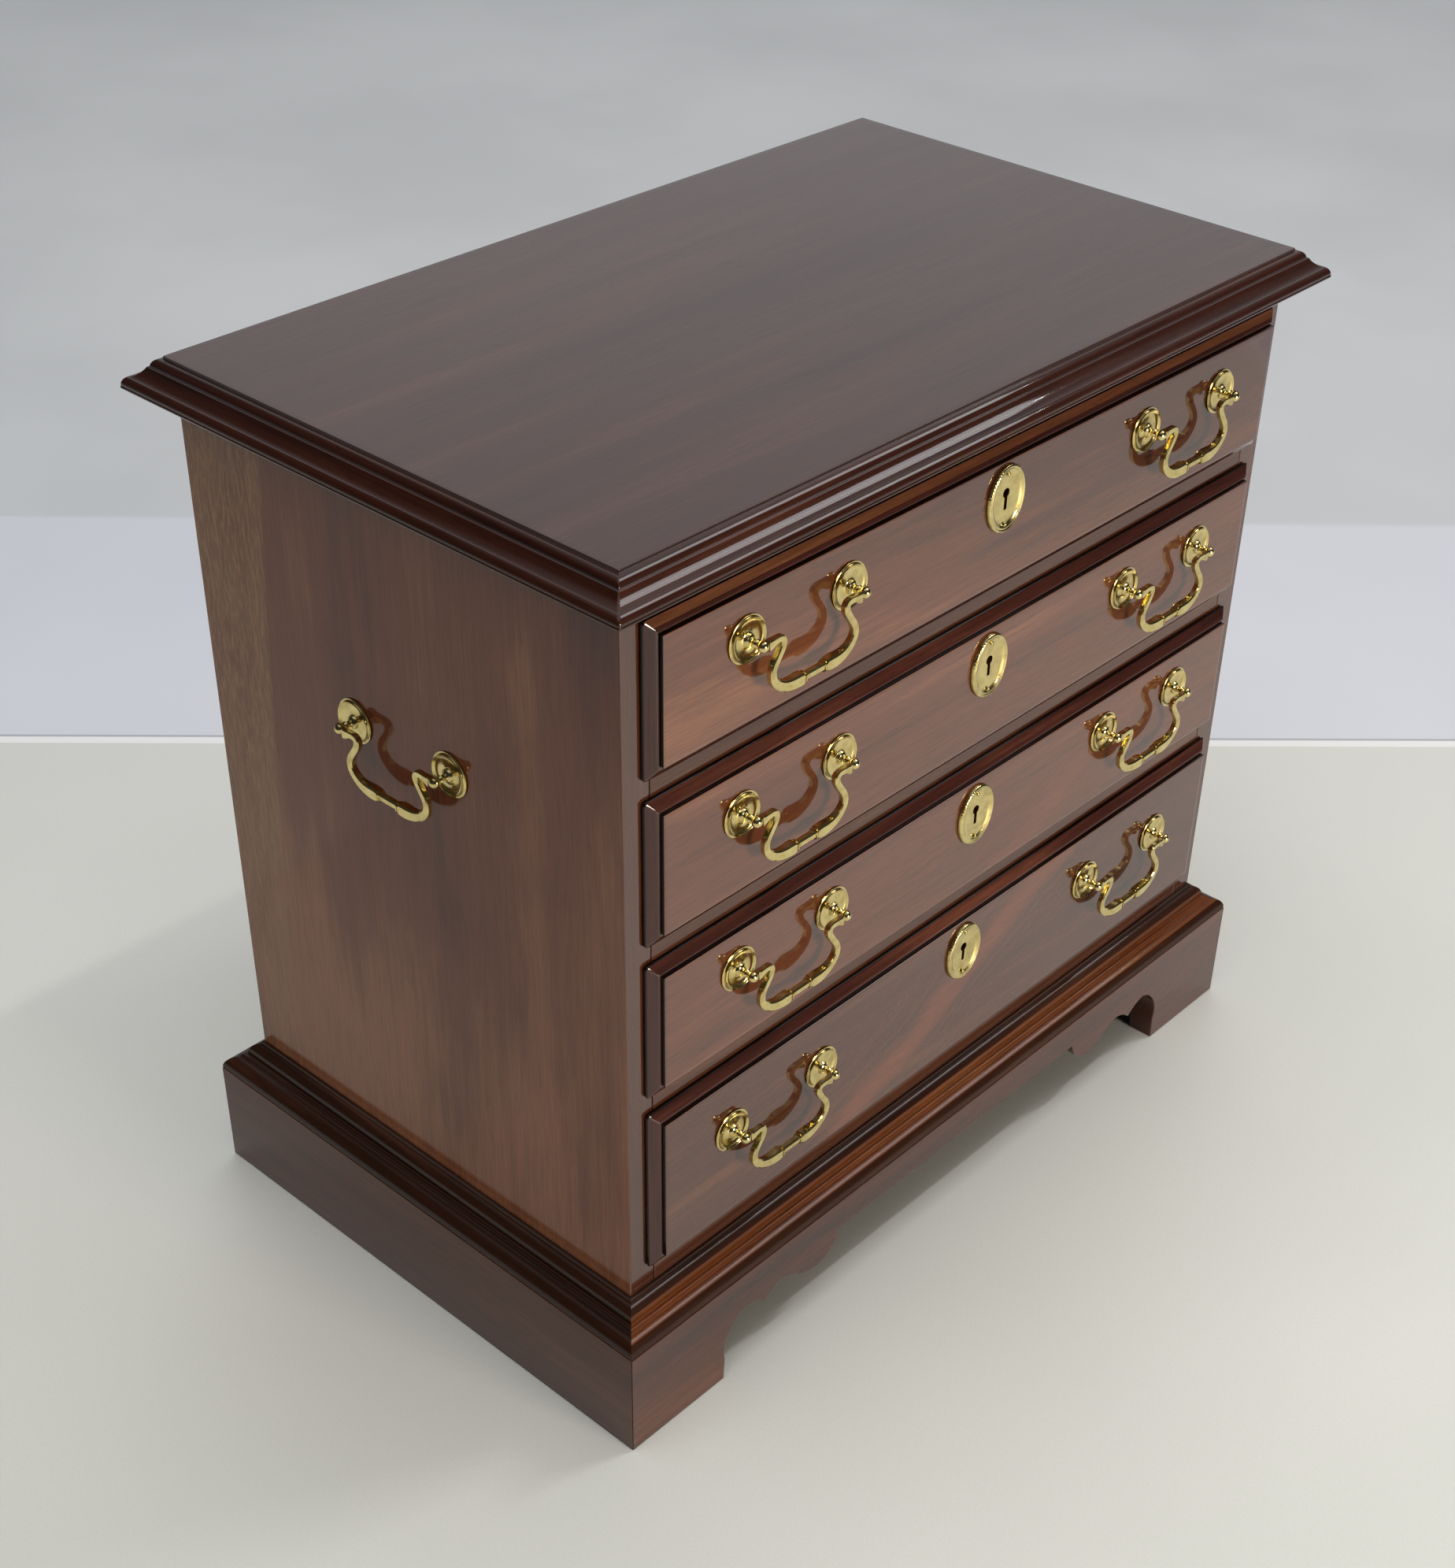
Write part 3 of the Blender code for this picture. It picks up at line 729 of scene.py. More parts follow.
def make_base(woods):
    """The four base mouldings, the four plinth boards and the blocks behind the front feet."""
    strip = base_profile() + [(BASE_INNER, BASE_LOW.z), (BASE_INNER, BASE_HIGH.z)]
    for name, turns, axis in (("front", 0, "x"), ("right", 1, "y"), ("left", 3, "y")):
        node = f"base_moulding_{name}"
        mitred_strip(f"base_mould_{name}", strip, turns, woods[f"base_{axis}"], [node])
    front = bpy.data.objects["base_mould_front"]
    # The band's faces take the lighter wood as painted light.
    second_material(front, woods["base_band"], lambda face: BAND_LOW < face.center.z < BAND_HIGH)
    mitred_strip("base_mould_back", strip, 2, woods["base_x"], ["plinth_back"])
    out = -PLINTH_LOW.y - HALF_D
    inner, top = out - PLINTH_T, PLINTH_HIGH.z
    section = [(inner, 0.0), (out, 0.0), (out, top), (inner, top)]
    eased = softened(section, PLINTH_EASE, closed=True)
    for name, turns, axis in (("right", 1, "y"), ("left", 3, "y"), ("back", 2, "x")):
        replaced = [f"plinth_{name}"]
        material = woods[f"plinth_{axis}"]
        mitred_strip(f"plinth_board_{name}", eased, turns, material, replaced, 15.0)
    make_scrolled_plinth(woods["plinth_front"], inner, out, top)
    for _, name in HANDS:
        node = f"foot_block_{name}"
        label, material = f"foot_glue_block_{name}", woods["block"]
        board(label, *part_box(node), "case", "foot_block_dark", material, BLOCK_ARRIS, [node])


def apron_edge():
    """The right half of the apron's lower edge as (x, z) in millimetres, from the middle out to the foot."""
    points = [(0.0, 38.9), (89.6, 38.9)]
    points += arc((90.7, 38.4), (105.0, 25.4), -3.0)
    points += arc((105.0, 25.4), (118.0, 29.0), -0.8, 6)[1:]
    points += arc((118.0, 29.0), (129.0, 35.0), 0.8, 6)[1:]
    points += arc((129.0, 35.0), (141.5, 29.1), 1.3)[1:]
    points += arc((141.5, 29.1), (153.5, 35.4), 1.2)[1:]
    points += arc((153.5, 35.4), (166.8, 12.0), 5.7, 12)[1:]
    points += [(167.5, 0.0)]
    return [(x * MM, z * MM) for x, z in points]


# Limits how far a sharp corner moves in: the square of the least cosine of half its turn.
LEAST_TURN_SQUARE = 0.25


def inset_outline(outline, distance):
    """The outline moved inwards, for a counter-clockwise outline."""
    moved = []
    count = len(outline)
    for i, point in enumerate(outline):
        before, after = Vector(outline[i - 1]), Vector(outline[(i + 1) % count])
        point = Vector(point)
        first, second = (point - before).normalized(), (after - point).normalized()
        normal = Vector((-first.y - second.y, first.x + second.x)).normalized()
        stretch = 1.0 / math.sqrt(max(LEAST_TURN_SQUARE, (1 + first.dot(second)) / 2))
        moved.append(point + normal * distance * stretch)
    return moved


def plinth_outline(reach, top):
    """The scrolled front board's outline as (x, z), where it stands reach out from the case."""
    end = HALF_W + reach - MITRE
    right = apron_edge() + [(end, 0.0), (end, top)]
    left = [(-x, z) for x, z in reversed(right) if x > 0]
    return right + left


def make_scrolled_plinth(material, inner, out, top):
    """The front plinth board, mitred at its ends, with its edges eased."""
    ease = SCROLL_EASE
    rings = []
    for reach, inward in ((inner, ease), (inner + ease, 0.0), (out - ease, 0.0), (out, ease)):
        points = inset_outline(plinth_outline(reach, top), inward)
        rings.append([(x, -HALF_D - reach, z) for x, z in points])
    builder = bmesh.new()
    add_loft(builder, rings)
    name, replaced = "plinth_scrolled_front", ["plinth_front"]
    make_object(name, builder, "case", [material], 30.0, replaced)


# Drawers


# A lip's face from its outer edge to the field: (distance in, distance out of the case) in millimetres.
LIP_FACE = (
    (0.0, 1.1), (0.15, 1.55), (0.45, 1.9), (1.1, 2.35), (2.4, 3.15), (3.7, 3.92), (4.7, 4.42), (5.2, 4.53),
    (5.6, 4.5),
)
LIP_RING = 5.9 * MM
LIP_CORNER = 1.8 * MM
LIP_EASE = 0.4 * MM
LAP = 4.8 * MM
FIELD_CORNER = 0.3 * MM
# From the lip's end to the field: (distance past LIP_RING, y).
FIELD_STEP = (
    (0.0, FRONT_Y - 4.35 * MM),
    (0.0, FIELD_Y + 0.25 * MM),
    (0.08 * MM, FIELD_Y + 0.08 * MM),
    (0.28 * MM, FIELD_Y),
    (1.6 * MM, FIELD_Y),
)
# The part of a front that fills the opening, with the gaps beside, below and above it.
INSET_DEPTH = 10 * MM
INSET_CORNER = 0.4 * MM
CLEAR_SIDE = 0.9 * MM
CLEAR_LOW = 0.4 * MM
CLEAR_HIGH = 0.7 * MM
# A front's materials after its field, by slot.
FRONT_WOODS = ("lip", "plain", "lip_1", "glaze", "lip_z")
LIP, INSIDE, PALE_LIP, PAINTED_SHADE, LIP_END = range(1, 6)
# The spans of faces on a lip's side are painted near-black as shade, and so is its step.
SHADE_PAINTED_SPANS = range(2, 9)
# The upper lip of drawer 1 is pale up to this span.
PALE_UP_TO = 18
# A face points upwards where its normal's z is over this.
UPWARDS = 0.3
# The keyhole: its round part's radius, its slot's half width, the slot's foot and the rise of the round part.
KEY_ROUND = 2.1 * MM
KEY_SLOT = 0.95 * MM
KEY_LENGTH = 7.4 * MM
KEY_RISE = 2.4 * MM
KEYHOLE_POINTS = 236
# Straight down, a direction counts as reaching at least this far sideways, so that it divides.
LEAST_ACROSS = 0.001
# In the wood the hole is this much wider than in its plate, and this deep.
HOLE_WIDER = 0.25 * MM
HOLE_DEPTH = 8 * MM
CUTTER_OUT = 2 * MM


def front_rings(low, high):
    """Rings of a lipped front from its back out to its field, with the index of the first field ring."""
    centre, half = (low.x + high.x) / 2, (high.x - low.x) / 2
    inset = (INNER_X - CLEAR_SIDE, low.z + LAP + CLEAR_LOW, high.z - LAP - CLEAR_HIGH, INSET_CORNER)
    rings = []

    def ring(half_x, z_low, z_high, corner, y, middle=centre):
        outline = rounded_rectangle(half_x, z_low, z_high, corner)
        rings.append([(middle + x, y, z) for x, z in outline])

    def lip_ring(inward, corner, y):
        ring(half - inward, low.z + inward, high.z - inward, corner, y)

    ring(*inset, FRONT_Y + INSET_DEPTH, 0.0)
    ring(*inset, FRONT_Y - GAP, 0.0)
    lip_ring(LIP_EASE, LIP_CORNER, FRONT_Y - GAP)
    lip_ring(0.0, LIP_CORNER, FRONT_Y - GAP - LIP_EASE)
    for inward, out in spline(LIP_FACE, 3):
        inward *= MM
        corner = LIP_CORNER + (FIELD_CORNER - LIP_CORNER) * inward / LIP_RING
        lip_ring(inward, corner, FRONT_Y - out * MM)
    lip_rings = len(rings)
    for past, y in FIELD_STEP:
        lip_ring(LIP_RING + past, FIELD_CORNER, y)
    return rings, lip_rings


def colour_front(spans, number, first_field):
    """Gives the spans of a front's faces their materials, all but the field's."""
    for index, faces in enumerate(spans[: first_field + 1]):
        for face in faces:
            pale_top = number == 1 and face.normal.z > UPWARDS and index < PALE_UP_TO
            face.material_index = PALE_LIP if pale_top else LIP
            # A lip's side and its step take the near-black painted shade.
            if index in SHADE_PAINTED_SPANS or index >= first_field - 1:
                face.material_index = PAINTED_SHADE
            elif abs(face.normal.x) > abs(face.normal.z):
                face.material_index = LIP_END
    spans[-2][0].material_index = INSIDE


def make_front(number, woods):
    """A drawer's lipped front, with the keyhole cut into it."""
    rings, first_field = front_rings(*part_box(f"drawer_{number}_front"))
    builder = bmesh.new()
    spans = add_loft(builder, rings)
    bmesh.ops.recalc_face_normals(builder, faces=builder.faces)
    builder.normal_update()
    colour_front(spans, number, first_field)
    name, body = f"drawer_front_{number}", f"drawer_{number}"
    materials = [woods[key] for key in (f"field_{number}", *FRONT_WOODS)]
    replaced = [f"drawer_{number}_front"]
    front = make_object(name, builder, body, materials, 28.0, replaced)
    low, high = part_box(f"escutcheon_{number}")
    hole = keyhole((low + high) / 2, keyhole_angles(), HOLE_WIDER)
    cutter = bmesh.new()
    add_loft(cutter, [[(x, y, z) for x, z in hole] for y in (FIELD_Y - CUTTER_OUT, FIELD_Y + HOLE_DEPTH)])
    cut_with(front, linked("keyhole_cutter", finished_mesh("keyhole_cutter", cutter)))


def cut_with(obj, cutter):
    """Cuts the cutter out of obj for good, and removes the cutter."""
    modifier = obj.modifiers.new("cut", "BOOLEAN")
    modifier.operation = "DIFFERENCE"
    modifier.solver = "EXACT"
    modifier.object = cutter
    graph = bpy.context.evaluated_depsgraph_get()
    mesh = bpy.data.meshes.new_from_object(obj.evaluated_get(graph))
    obj.modifiers.clear()
    obj.data = mesh
    bpy.data.objects.remove(cutter)


def keyhole_angles():
    """Directions from the keyhole's round part, rising from -180 degrees, that catch each of its corners."""
    corners = (math.asin(KEY_SLOT / KEY_ROUND), math.atan(KEY_SLOT / KEY_LENGTH))
    angles = [side * corner - math.pi / 2 for side in SIDES for corner in corners]
    angles += [2 * math.pi * (i + 0.5) / KEYHOLE_POINTS - math.pi for i in range(KEYHOLE_POINTS)]
    return sorted(angles)


def keyhole(centre, angles, grow=0.0):
    """A keyhole's outline as (x, z): a circle over a slot, at these directions from the circle's centre."""
    radius, half_slot, foot = KEY_ROUND + grow, KEY_SLOT + grow, KEY_LENGTH + grow
    points = []
    for angle in angles:
        across, up = math.cos(angle), math.sin(angle)
        reach = radius
        if up < 0 and abs(across) * radius < half_slot:
            reach = min(half_slot / max(abs(across), LEAST_ACROSS), foot / -up)
        points.append((centre.x + reach * across, centre.z + KEY_RISE + reach * up))
    return points


def oval_at(angle, half_w, half_h):
    """The point of an oval in this direction from the keyhole's round part, as its own angle on the oval."""
    across, up = math.cos(angle) / half_w, math.sin(angle) / half_h
    rise = KEY_RISE / half_h
    square = across * across + up * up
    reach = (math.sqrt((up * rise) ** 2 + square * (1 - rise * rise)) - up * rise) / square
    return math.atan2(rise + reach * up, reach * across)


# A drawer box: its boards' thickness, the heights of its bottom's faces, and the gaps around its back.
BOX_WALL = 7 * MM
BOX_FLOOR = (1.2 * MM, 4 * MM)
BACK_RISE = 2.5 * MM
BACK_DROP = 3 * MM
BACK_INSET = 0.1 * MM
FLOOR_ARRIS = 0.1 * MM
# Dovetails: a box over TALL_BOX has three to a corner, or else two. They stand DOVETAIL_PROUD of the sides.
DOVETAIL_DEPTH = 9 * MM
DOVETAIL_PROUD = 0.08 * MM
TALL_BOX = 58 * MM
# A dovetail's half width at the corner and at its inner end, as a share of the spacing.
DOVETAIL_WIDE = 0.22
DOVETAIL_NARROW = 0.14


def make_box(number, woods):
    """The drawer's sides, back and bottom as separate boards, with their joints."""
    node = f"drawer_{number}_box"
    low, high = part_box(node)
    body, slot = f"drawer_{number}", "drawer_lining"
    inner, back = high.x - BOX_WALL, high.y - BOX_WALL
    for side, label in HANDS:
        xs = sorted((side * high.x, side * inner))
        start, end = (xs[0], low.y, low.z), (xs[1], high.y, high.z)
        name, material = f"drawer_side_{number}_{label}", woods[f"lining_{label}"]
        board(name, start, end, body, slot, material, ARRIS, [node] if side < 0 else ())
    start = (low.x + BOX_WALL, back, low.z + BACK_RISE)
    end = (inner, high.y - BACK_INSET, high.z - BACK_DROP)
    board(f"drawer_back_{number}", start, end, body, slot, woods["lining_back"])
    make_dovetails(number, low, high, woods["lining_end"])
    start = (low.x + BOX_WALL - BACK_INSET, low.y, low.z + BOX_FLOOR[0])
    end = (inner + BACK_INSET, back, low.z + BOX_FLOOR[1])
    board(f"drawer_bottom_{number}", start, end, body, slot, woods["lining_bottom"], FLOOR_ARRIS)


def make_dovetails(number, low, high, material):
    """The joints at a box's corners: pins that show on the sides, as wedges that stand a hair proud."""
    count = 2 if high.z - low.z < TALL_BOX else 3
    pitch = (high.z - low.z) / count
    for side, label in HANDS:
        builder = bmesh.new()
        for index in range(count):
            middle = low.z + pitch * (index + 0.5)
            for y, way, depth in ((low.y, 1, DOVETAIL_DEPTH), (high.y, -1, BOX_WALL)):
                ends = ((GLUE_LINE, DOVETAIL_WIDE), (depth, DOVETAIL_NARROW))
                wedge = [*ends, *((along, -rise) for along, rise in reversed(ends))]
                wedge = [(y + way * along, middle + pitch * rise) for along, rise in wedge]
                xs = (side * (high.x - DOVETAIL_PROUD), side * (high.x + DOVETAIL_PROUD))
                add_loft(builder, [[(x, *point) for point in wedge] for x in xs])
        name, body = f"dovetails_{number}_{label}", f"drawer_{number}"
        make_object(name, builder, body, [material], 15.0)


# Brass


# A post's ball and its distance out of the wood, and half the distance between posts, in millimetres.
BALL_R = 2.42
PIVOT_OUT = 8.0
HALF_SPAN = 28.5


def rosette_mesh():
    """A dished rosette with a raised rim, about local Y, its back at y = -GAP."""
    points = [(0.0, 0.3), (9.7, 0.3)]
    points += arc((9.95, 0.5), (9.0, 1.8), 0.55, 8)
    points += [(8.8, 1.72)]
    points += spline([(8.6, 1.45), (7.9, 0.95), (6.6, 0.62), (4.8, 0.60), (3.4, 0.85)], 4)
    points += [(3.0, 1.05), (2.8, 1.5), (0.0, 1.5)]
    return turned_mesh("rosette", points, 64)


def post_mesh():
    """The ball-ended post that stands in a rosette, about local Y."""
    points = [(0.0, 1.2), (2.7, 1.2)]
    points += spline([(2.8, 1.6), (2.5, 2.1), (1.7, 2.7), (1.4, 3.6), (1.45, 4.5), (1.9, 5.1)], 3)
    points += [(1.75, 5.45)]
    for step in range(14):
        angle = math.radians(36 + 9 * step)
        points.append((BALL_R * math.sin(angle), PIVOT_OUT - BALL_R * math.cos(angle)))
    points += [(0.95, 10.25), (0.55, 10.42), (0.0, 10.45)]
    return turned_mesh("post", points, 36)


def turned_mesh(name, points, segments):
    """A turned shape as a mesh, from (radius, distance out) points in millimetres."""
    builder = bmesh.new()
    lathe(builder, points, segments)
    return finished_mesh(name, builder, 38)


# Half a nut's section as (distance from its seat, radius), and its rod's thread, in millimetres.
NUT = ((-0.3, 3.1), (0.0, 3.3), (0.25, 3.5), (1.75, 3.5), (2.0, 3.2))
THREAD_TURNS = 7
THREAD_PITCH = 0.5
THREAD_ROOT = 1.15
THREAD_CREST = 1.4

# The domed head of a pin.
PLATE_PIN = ((0.0, 0.9), (0.85, 0.9), (0.95, 1.35), (0.85, 1.62), (0.55, 1.82), (0.25, 1.88), (0.0, 1.9))

# One half of a bail from its pin to its middle: distance from the middle, height, half size in its plane,
# half size across, in millimetres.
BAIL = (
    (26.05, -0.75, 2.37, 1.43), (24.6, -0.55, 2.15, 1.43), (22.6, -0.1, 1.54, 1.38),
    (20.4, 0.1, 1.38, 1.38), (18.5, -0.4, 1.49, 1.38), (17.7, -2.1, 1.59, 1.38),
    (18.5, -4.6, 1.54, 1.38), (20.3, -7.4, 1.49, 1.38), (22.2, -10.2, 1.54, 1.38),
    (23.2, -13.2, 1.59, 1.43), (22.6, -16.4, 1.71, 1.49), (20.2, -19.2, 1.93, 1.59),
    (16.6, -21.2, 2.25, 1.76), (12.6, -21.95, 2.64, 2.04), (9.6, -22, 2.81, 2.2),
    (7, -22, 2.64, 2.15),
)
# The collar that ends a bail's swelling, and the thin grip beyond it: (distance from the middle, half size).
COLLAR = (
    (6.3, 2.1), (6.1, 1.75), (5.85, 1.75), (5.7, 2.25), (5.2, 2.25), (5.05, 1.7), (4.2, 1.62), (0.0, 1.7)
)
COLLAR_ACROSS = 0.95
GRIP_Z = -22.0
# Where a bail's corners are cut, as a share of its half size.
BAIL_CUT = 0.72
COLLAR_CUT = 0.55
# A bail's pins: their radius and the distances from its middle that they span, in millimetres.
PIN_R = 0.8
PIN_ENDS = (25.9, 26.8)


def bail_section(centre, normal, in_plane, across, corner):
    """Eight points of a rectangle with cut corners about a point of the bail."""
    half = [(1, -corner), (1, corner), (corner, 1), (-corner, 1)]
    ring = []
    for a, b in half + [(-a, -b) for a, b in half]:
        x = centre.x + normal.x * in_plane * a
        z = centre.y + normal.y * in_plane * a
        ring.append((x * MM, across * b * MM, z * MM))
    return ring


def bail_mesh():
    """A swan-necked bail in the XZ plane, its pivots on local X."""
    rows = [(Vector((p[0], p[1])), p[2], p[3], BAIL_CUT) for p in spline(BAIL, 4)]
    for x, size in COLLAR:
        rows.append((Vector((x, GRIP_Z)), size, size * COLLAR_ACROSS, COLLAR_CUT))
    rows += [(Vector((-c.x, c.y)), a, b, k) for c, a, b, k in reversed(rows[:-1])]
    rings = []
    for i, (centre, in_plane, across, corner) in enumerate(rows):
        before, after = rows[max(i - 1, 0)][0], rows[min(i + 1, len(rows) - 1)][0]
        way = (after - before).normalized()
        rings.append(bail_section(centre, Vector((-way.y, way.x)), in_plane, across, corner))
    builder = bmesh.new()
    add_loft(builder, rings)
    return finished_mesh("bail", builder, 33)


def pin_mesh():
    """The bail's two pins, as one short rod at each end."""
    builder = bmesh.new()
    rod, circle = PIN_R * MM, round_the_circle(16)
    for side in SIDES:
        add_loft(builder, [[(side * x * MM, rod * a, rod * b) for a, b in circle] for x in PIN_ENDS])
    return finished_mesh("bail_pins", builder, 40)


def nut_mesh():
    """A hexagonal nut on the end of a threaded rod, about local Y, its seat at y = 0."""
    builder = bmesh.new()
    rings = []
    for out, radius in NUT:
        rings.append([(radius * MM * a, -out * MM, radius * MM * b) for a, b in round_the_circle(6)])
    add_loft(builder, rings)
    thread = [(0.0, 0.0)]
    for turn in range(THREAD_TURNS):
        start = THREAD_PITCH * turn
        thread += [(THREAD_ROOT, start + 0.1), (THREAD_CREST, start + 0.35)]
    end = THREAD_PITCH * THREAD_TURNS
    lathe(builder, thread + [(1.0, end + 0.1), (0.0, end + 0.2)], 20)
    return finished_mesh("nut", builder)


def make_pulls(metal):
    """Every pull: its two rosettes, two posts, bail and pins, placed on the joints of the CAD."""
    rosette, post, bail, pins = rosette_mesh(), post_mesh(), bail_mesh(), pin_mesh()
    nut = nut_mesh()
    for joint in frame["joints"]:
        if joint["type"] != "hinge":
            continue
        label = joint["child"].replace("handle_", "")
        turn = {"side_left": -math.pi / 2, "side_right": math.pi / 2}.get(label, 0.0)
        matrix = Matrix.Translation(joint["pos_m"]) @ Matrix.Rotation(turn, 4, "Z")
        place(f"bail_handle_{label}", bail, joint["child"], [metal], [f"bail_{label}"], matrix)
        place(f"bail_pins_{label}", pins, joint["child"], [metal], (), matrix)
        for hand, side in (("a", -1), ("b", 1)):
            at = matrix @ Matrix.Translation((side * HALF_SPAN * MM, PIVOT_OUT * MM, 0))
            node = f"post_{label}_{hand}"
            place(f"rosette_{label}_{hand}", rosette, joint["parent"], [metal], [node], at)
            place(f"ball_post_{label}_{hand}", post, joint["parent"], [metal], (), at)
            if not turn:
                inside = Vector((at.translation.x, FRONT_Y + INSET_DEPTH, at.translation.z))
                back = Matrix.Translation(inside) @ Matrix.Rotation(math.pi, 4, "Z")
                place(f"nut_{label}_{hand}", nut, joint["parent"], [metal], (), back)


# An oval plate's profile: (distance in from its edge, distance out of the field), in millimetres.
PLATE = (
    (5.6, 0.70), (4.8, 0.74), (4.0, 0.86), (3.3, 1.10), (2.7, 1.45), (2.2, 1.72), (1.9, 1.76), (1.65, 1.62),
    (1.3, 1.80), (0.85, 1.92), (0.35, 1.65), (0.0, 1.1), (0.0, 0.3),
)
# The keyhole's edge stands this far out, in millimetres.
PLATE_LIP = 0.68
# The points of PLATE that are milled, the number of teeth and how deep they are, in millimetres.
MILLED = (9, 10, 11)
TEETH = 60
TOOTH = 0.06
# The pins' heights above the plate's middle, in millimetres.
PLATE_PINS = (10.7, -11.3)


def make_keyhole_plate(number, metal):
    """A dished oval plate with a milled rim, two pins and a keyhole through it."""
    low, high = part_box(f"escutcheon_{number}")
    centre = (low + high) / 2
    half_w, half_h = (high.x - low.x) / 2, (high.z - low.z) / 2
    angles = keyhole_angles()
    hole = keyhole(centre, angles)
    rings = [[(x, FIELD_Y - out, z) for x, z in hole] for out in (GAP, PLATE_LIP * MM)]
    for index, (inward, out) in enumerate(PLATE):
        ring = []
        a, b = half_w - inward * MM, half_h - inward * MM
        for angle in angles:
            t = oval_at(angle, a, b)
            notch = TOOTH * math.cos(TEETH * t) if index in MILLED else 0.0
            y = FIELD_Y - (out + notch) * MM
            ring.append((centre.x + a * math.cos(t), y, centre.z + b * math.sin(t)))
        rings.append(ring)
    builder = bmesh.new()
    add_loft(builder, rings, caps=False, closed=True)
    name, body, replaced = f"keyhole_plate_{number}", f"drawer_{number}", [f"escutcheon_{number}"]
    make_object(name, builder, body, [metal], 40.0, replaced)
    pin = turned_mesh("plate_pin", PLATE_PIN, 20)
    for index, rise in enumerate(PLATE_PINS, start=1):
        at = Matrix.Translation((centre.x, FIELD_Y, centre.z + rise * MM))
        place(f"plate_pin_{number}_{index}", pin, body, [metal], (), at)


# Stage


def mottled(graph, mottle, first, second):
    """Two colours in soft patches."""
    return graph.mix(graph.range(mottle, 0.3, 0.7), rgb(*first), rgb(*second))


def floor_colour(graph):
    """A pale table top, with its light rim, and the paler strip and grey ground beyond its far edge."""
    space = graph.coordinates()
    x, y, _ = graph.split(space)
    across = graph.plus(graph.times(x, TABLE_EDGE[0]), graph.times(y, TABLE_EDGE[1]))
    mottle = graph.noise(space, 3.0, 3.0)
    speck = graph.range(graph.noise(space, 900.0, 2.0), 0.3, 0.7, 0.0, 0.12)
    table = mottled(graph, mottle, (0.640, 0.645, 0.600), (0.680, 0.680, 0.635))
    table = graph.mix(speck, table, rgb(0.46, 0.46, 0.43))
    strip = mottled(graph, mottle, (0.62, 0.635, 0.68), (0.66, 0.67, 0.71))
    ground = mottled(graph, mottle, (0.54, 0.55, 0.56), (0.60, 0.61, 0.62))
    colour = graph.mix(graph.range(across, TABLE_FAR - ZONE_BLUR, TABLE_FAR + ZONE_BLUR), table, strip)
    for place_across, fade, line in (
        (TABLE_FAR, RIM, rgb(0.82, 0.82, 0.80)),
        (TABLE_FAR + DARK_LINE_PAST, DARK_LINE, rgb(0.42, 0.43, 0.46)),
    ):
        away = graph.math("ABSOLUTE", graph.minus(across, place_across))
        colour = graph.mix(graph.range(away, *fade), colour, line)
    return graph.mix(graph.range(across, STRIP_FAR - STRIP_BLUR, STRIP_FAR + STRIP_BLUR), colour, ground)


def make_floor():
    """The table and what lies beyond it, as one flat sheet."""
    graph = Graph(bpy.data.materials.new("floor_pale"))
    graph.set(Base_Color=floor_colour(graph), Roughness=0.40, Specular_IOR_Level=0.35)
    builder = bmesh.new()
    corners = ((-1, -1), (1, -1), (1, 1), (-1, 1))
    builder.faces.new([builder.verts.new((x * FLOOR_HALF, y * FLOOR_HALF, FLOOR_Z)) for x, y in corners])
    mesh = bpy.data.meshes.new("floor")
    builder.to_mesh(mesh)
    builder.free()
    mesh.materials.append(graph.material)
    linked("floor", mesh)


def make_world():
    """A dim room, with each glow as a soft lobe about its direction."""
    world = bpy.data.worlds.new("room")
    bpy.context.scene.world = world
    graph = Graph(world)
    space = graph.add("ShaderNodeTexCoord").outputs["Generated"]
    strength = ROOM_GLOW
    for direction, edge, glow in GLOWS:
        toward = graph.add("ShaderNodeVectorMath", {"operation": "DOT_PRODUCT"}, Vector=space)
        toward.inputs[1].default_value = Vector(direction).normalized()
        strength = graph.plus(graph.range(toward.outputs["Value"], edge, 1.0, 0.0, glow), strength)
    background = graph.tree.nodes["Background"]
    graph.feed(background.inputs["Strength"], strength)
    graph.feed(background.inputs["Color"], ROOM_COLOUR)


def oriented(x, y, z):
    """The rotation whose axes are these three."""
    return Matrix((x, y, z)).transposed().to_4x4()


def make_lights():
    """Rectangular lights that face LIT_POINT, their first side in one plane with the world's X."""
    for name, location, sides, power, colour, unseen in LIGHTS:
        light = bpy.data.lights.new(name, "AREA")
        light.shape = "RECTANGLE"
        light.size, light.size_y = sides
        light.energy = power
        light.color = colour
        obj = linked(name, light)
        back = (Vector(location) - Vector(LIT_POINT)).normalized()
        up = back.cross(Vector((1, 0, 0))).normalized()
        obj.matrix_world = Matrix.Translation(location) @ oriented(up.cross(back), up, back)
        obj.visible_camera = False
        if unseen:
            setattr(obj, unseen, False)


def make_camera():
    """The camera that took the photo, as fitted to the chest."""
    camera = bpy.data.cameras.new("camera")
    camera.lens = LENS
    camera.sensor_width = SENSOR
    camera.shift_x = SHIFT_X
    camera.shift_y = SHIFT_Y
    camera.clip_start = 0.01
    obj = linked("camera", camera)
    right, up = Vector(CAMERA_RIGHT).normalized(), Vector(CAMERA_UP).normalized()
    obj.matrix_world = Matrix.Translation(CAMERA_AT) @ oriented(right, up, right.cross(up))
    bpy.context.scene.camera = obj


PLAIN = {"coat": None}
BASE_FINISH = {"coat": 0.07, "shine": 0.45}
# The sides' figure carries painted shade under the top's overhang.
SIDE_FINISH = {"coat": 0.06, "shine": 0.72, "contrast": 0.5, "figure": clouds_and_painted_shade}
PLINTH_FINISH = {"coat": 0.10, "shine": 0.75}
FRONT_FINISH = {"contrast": 0.85, "ior": DEEP_POLISH}

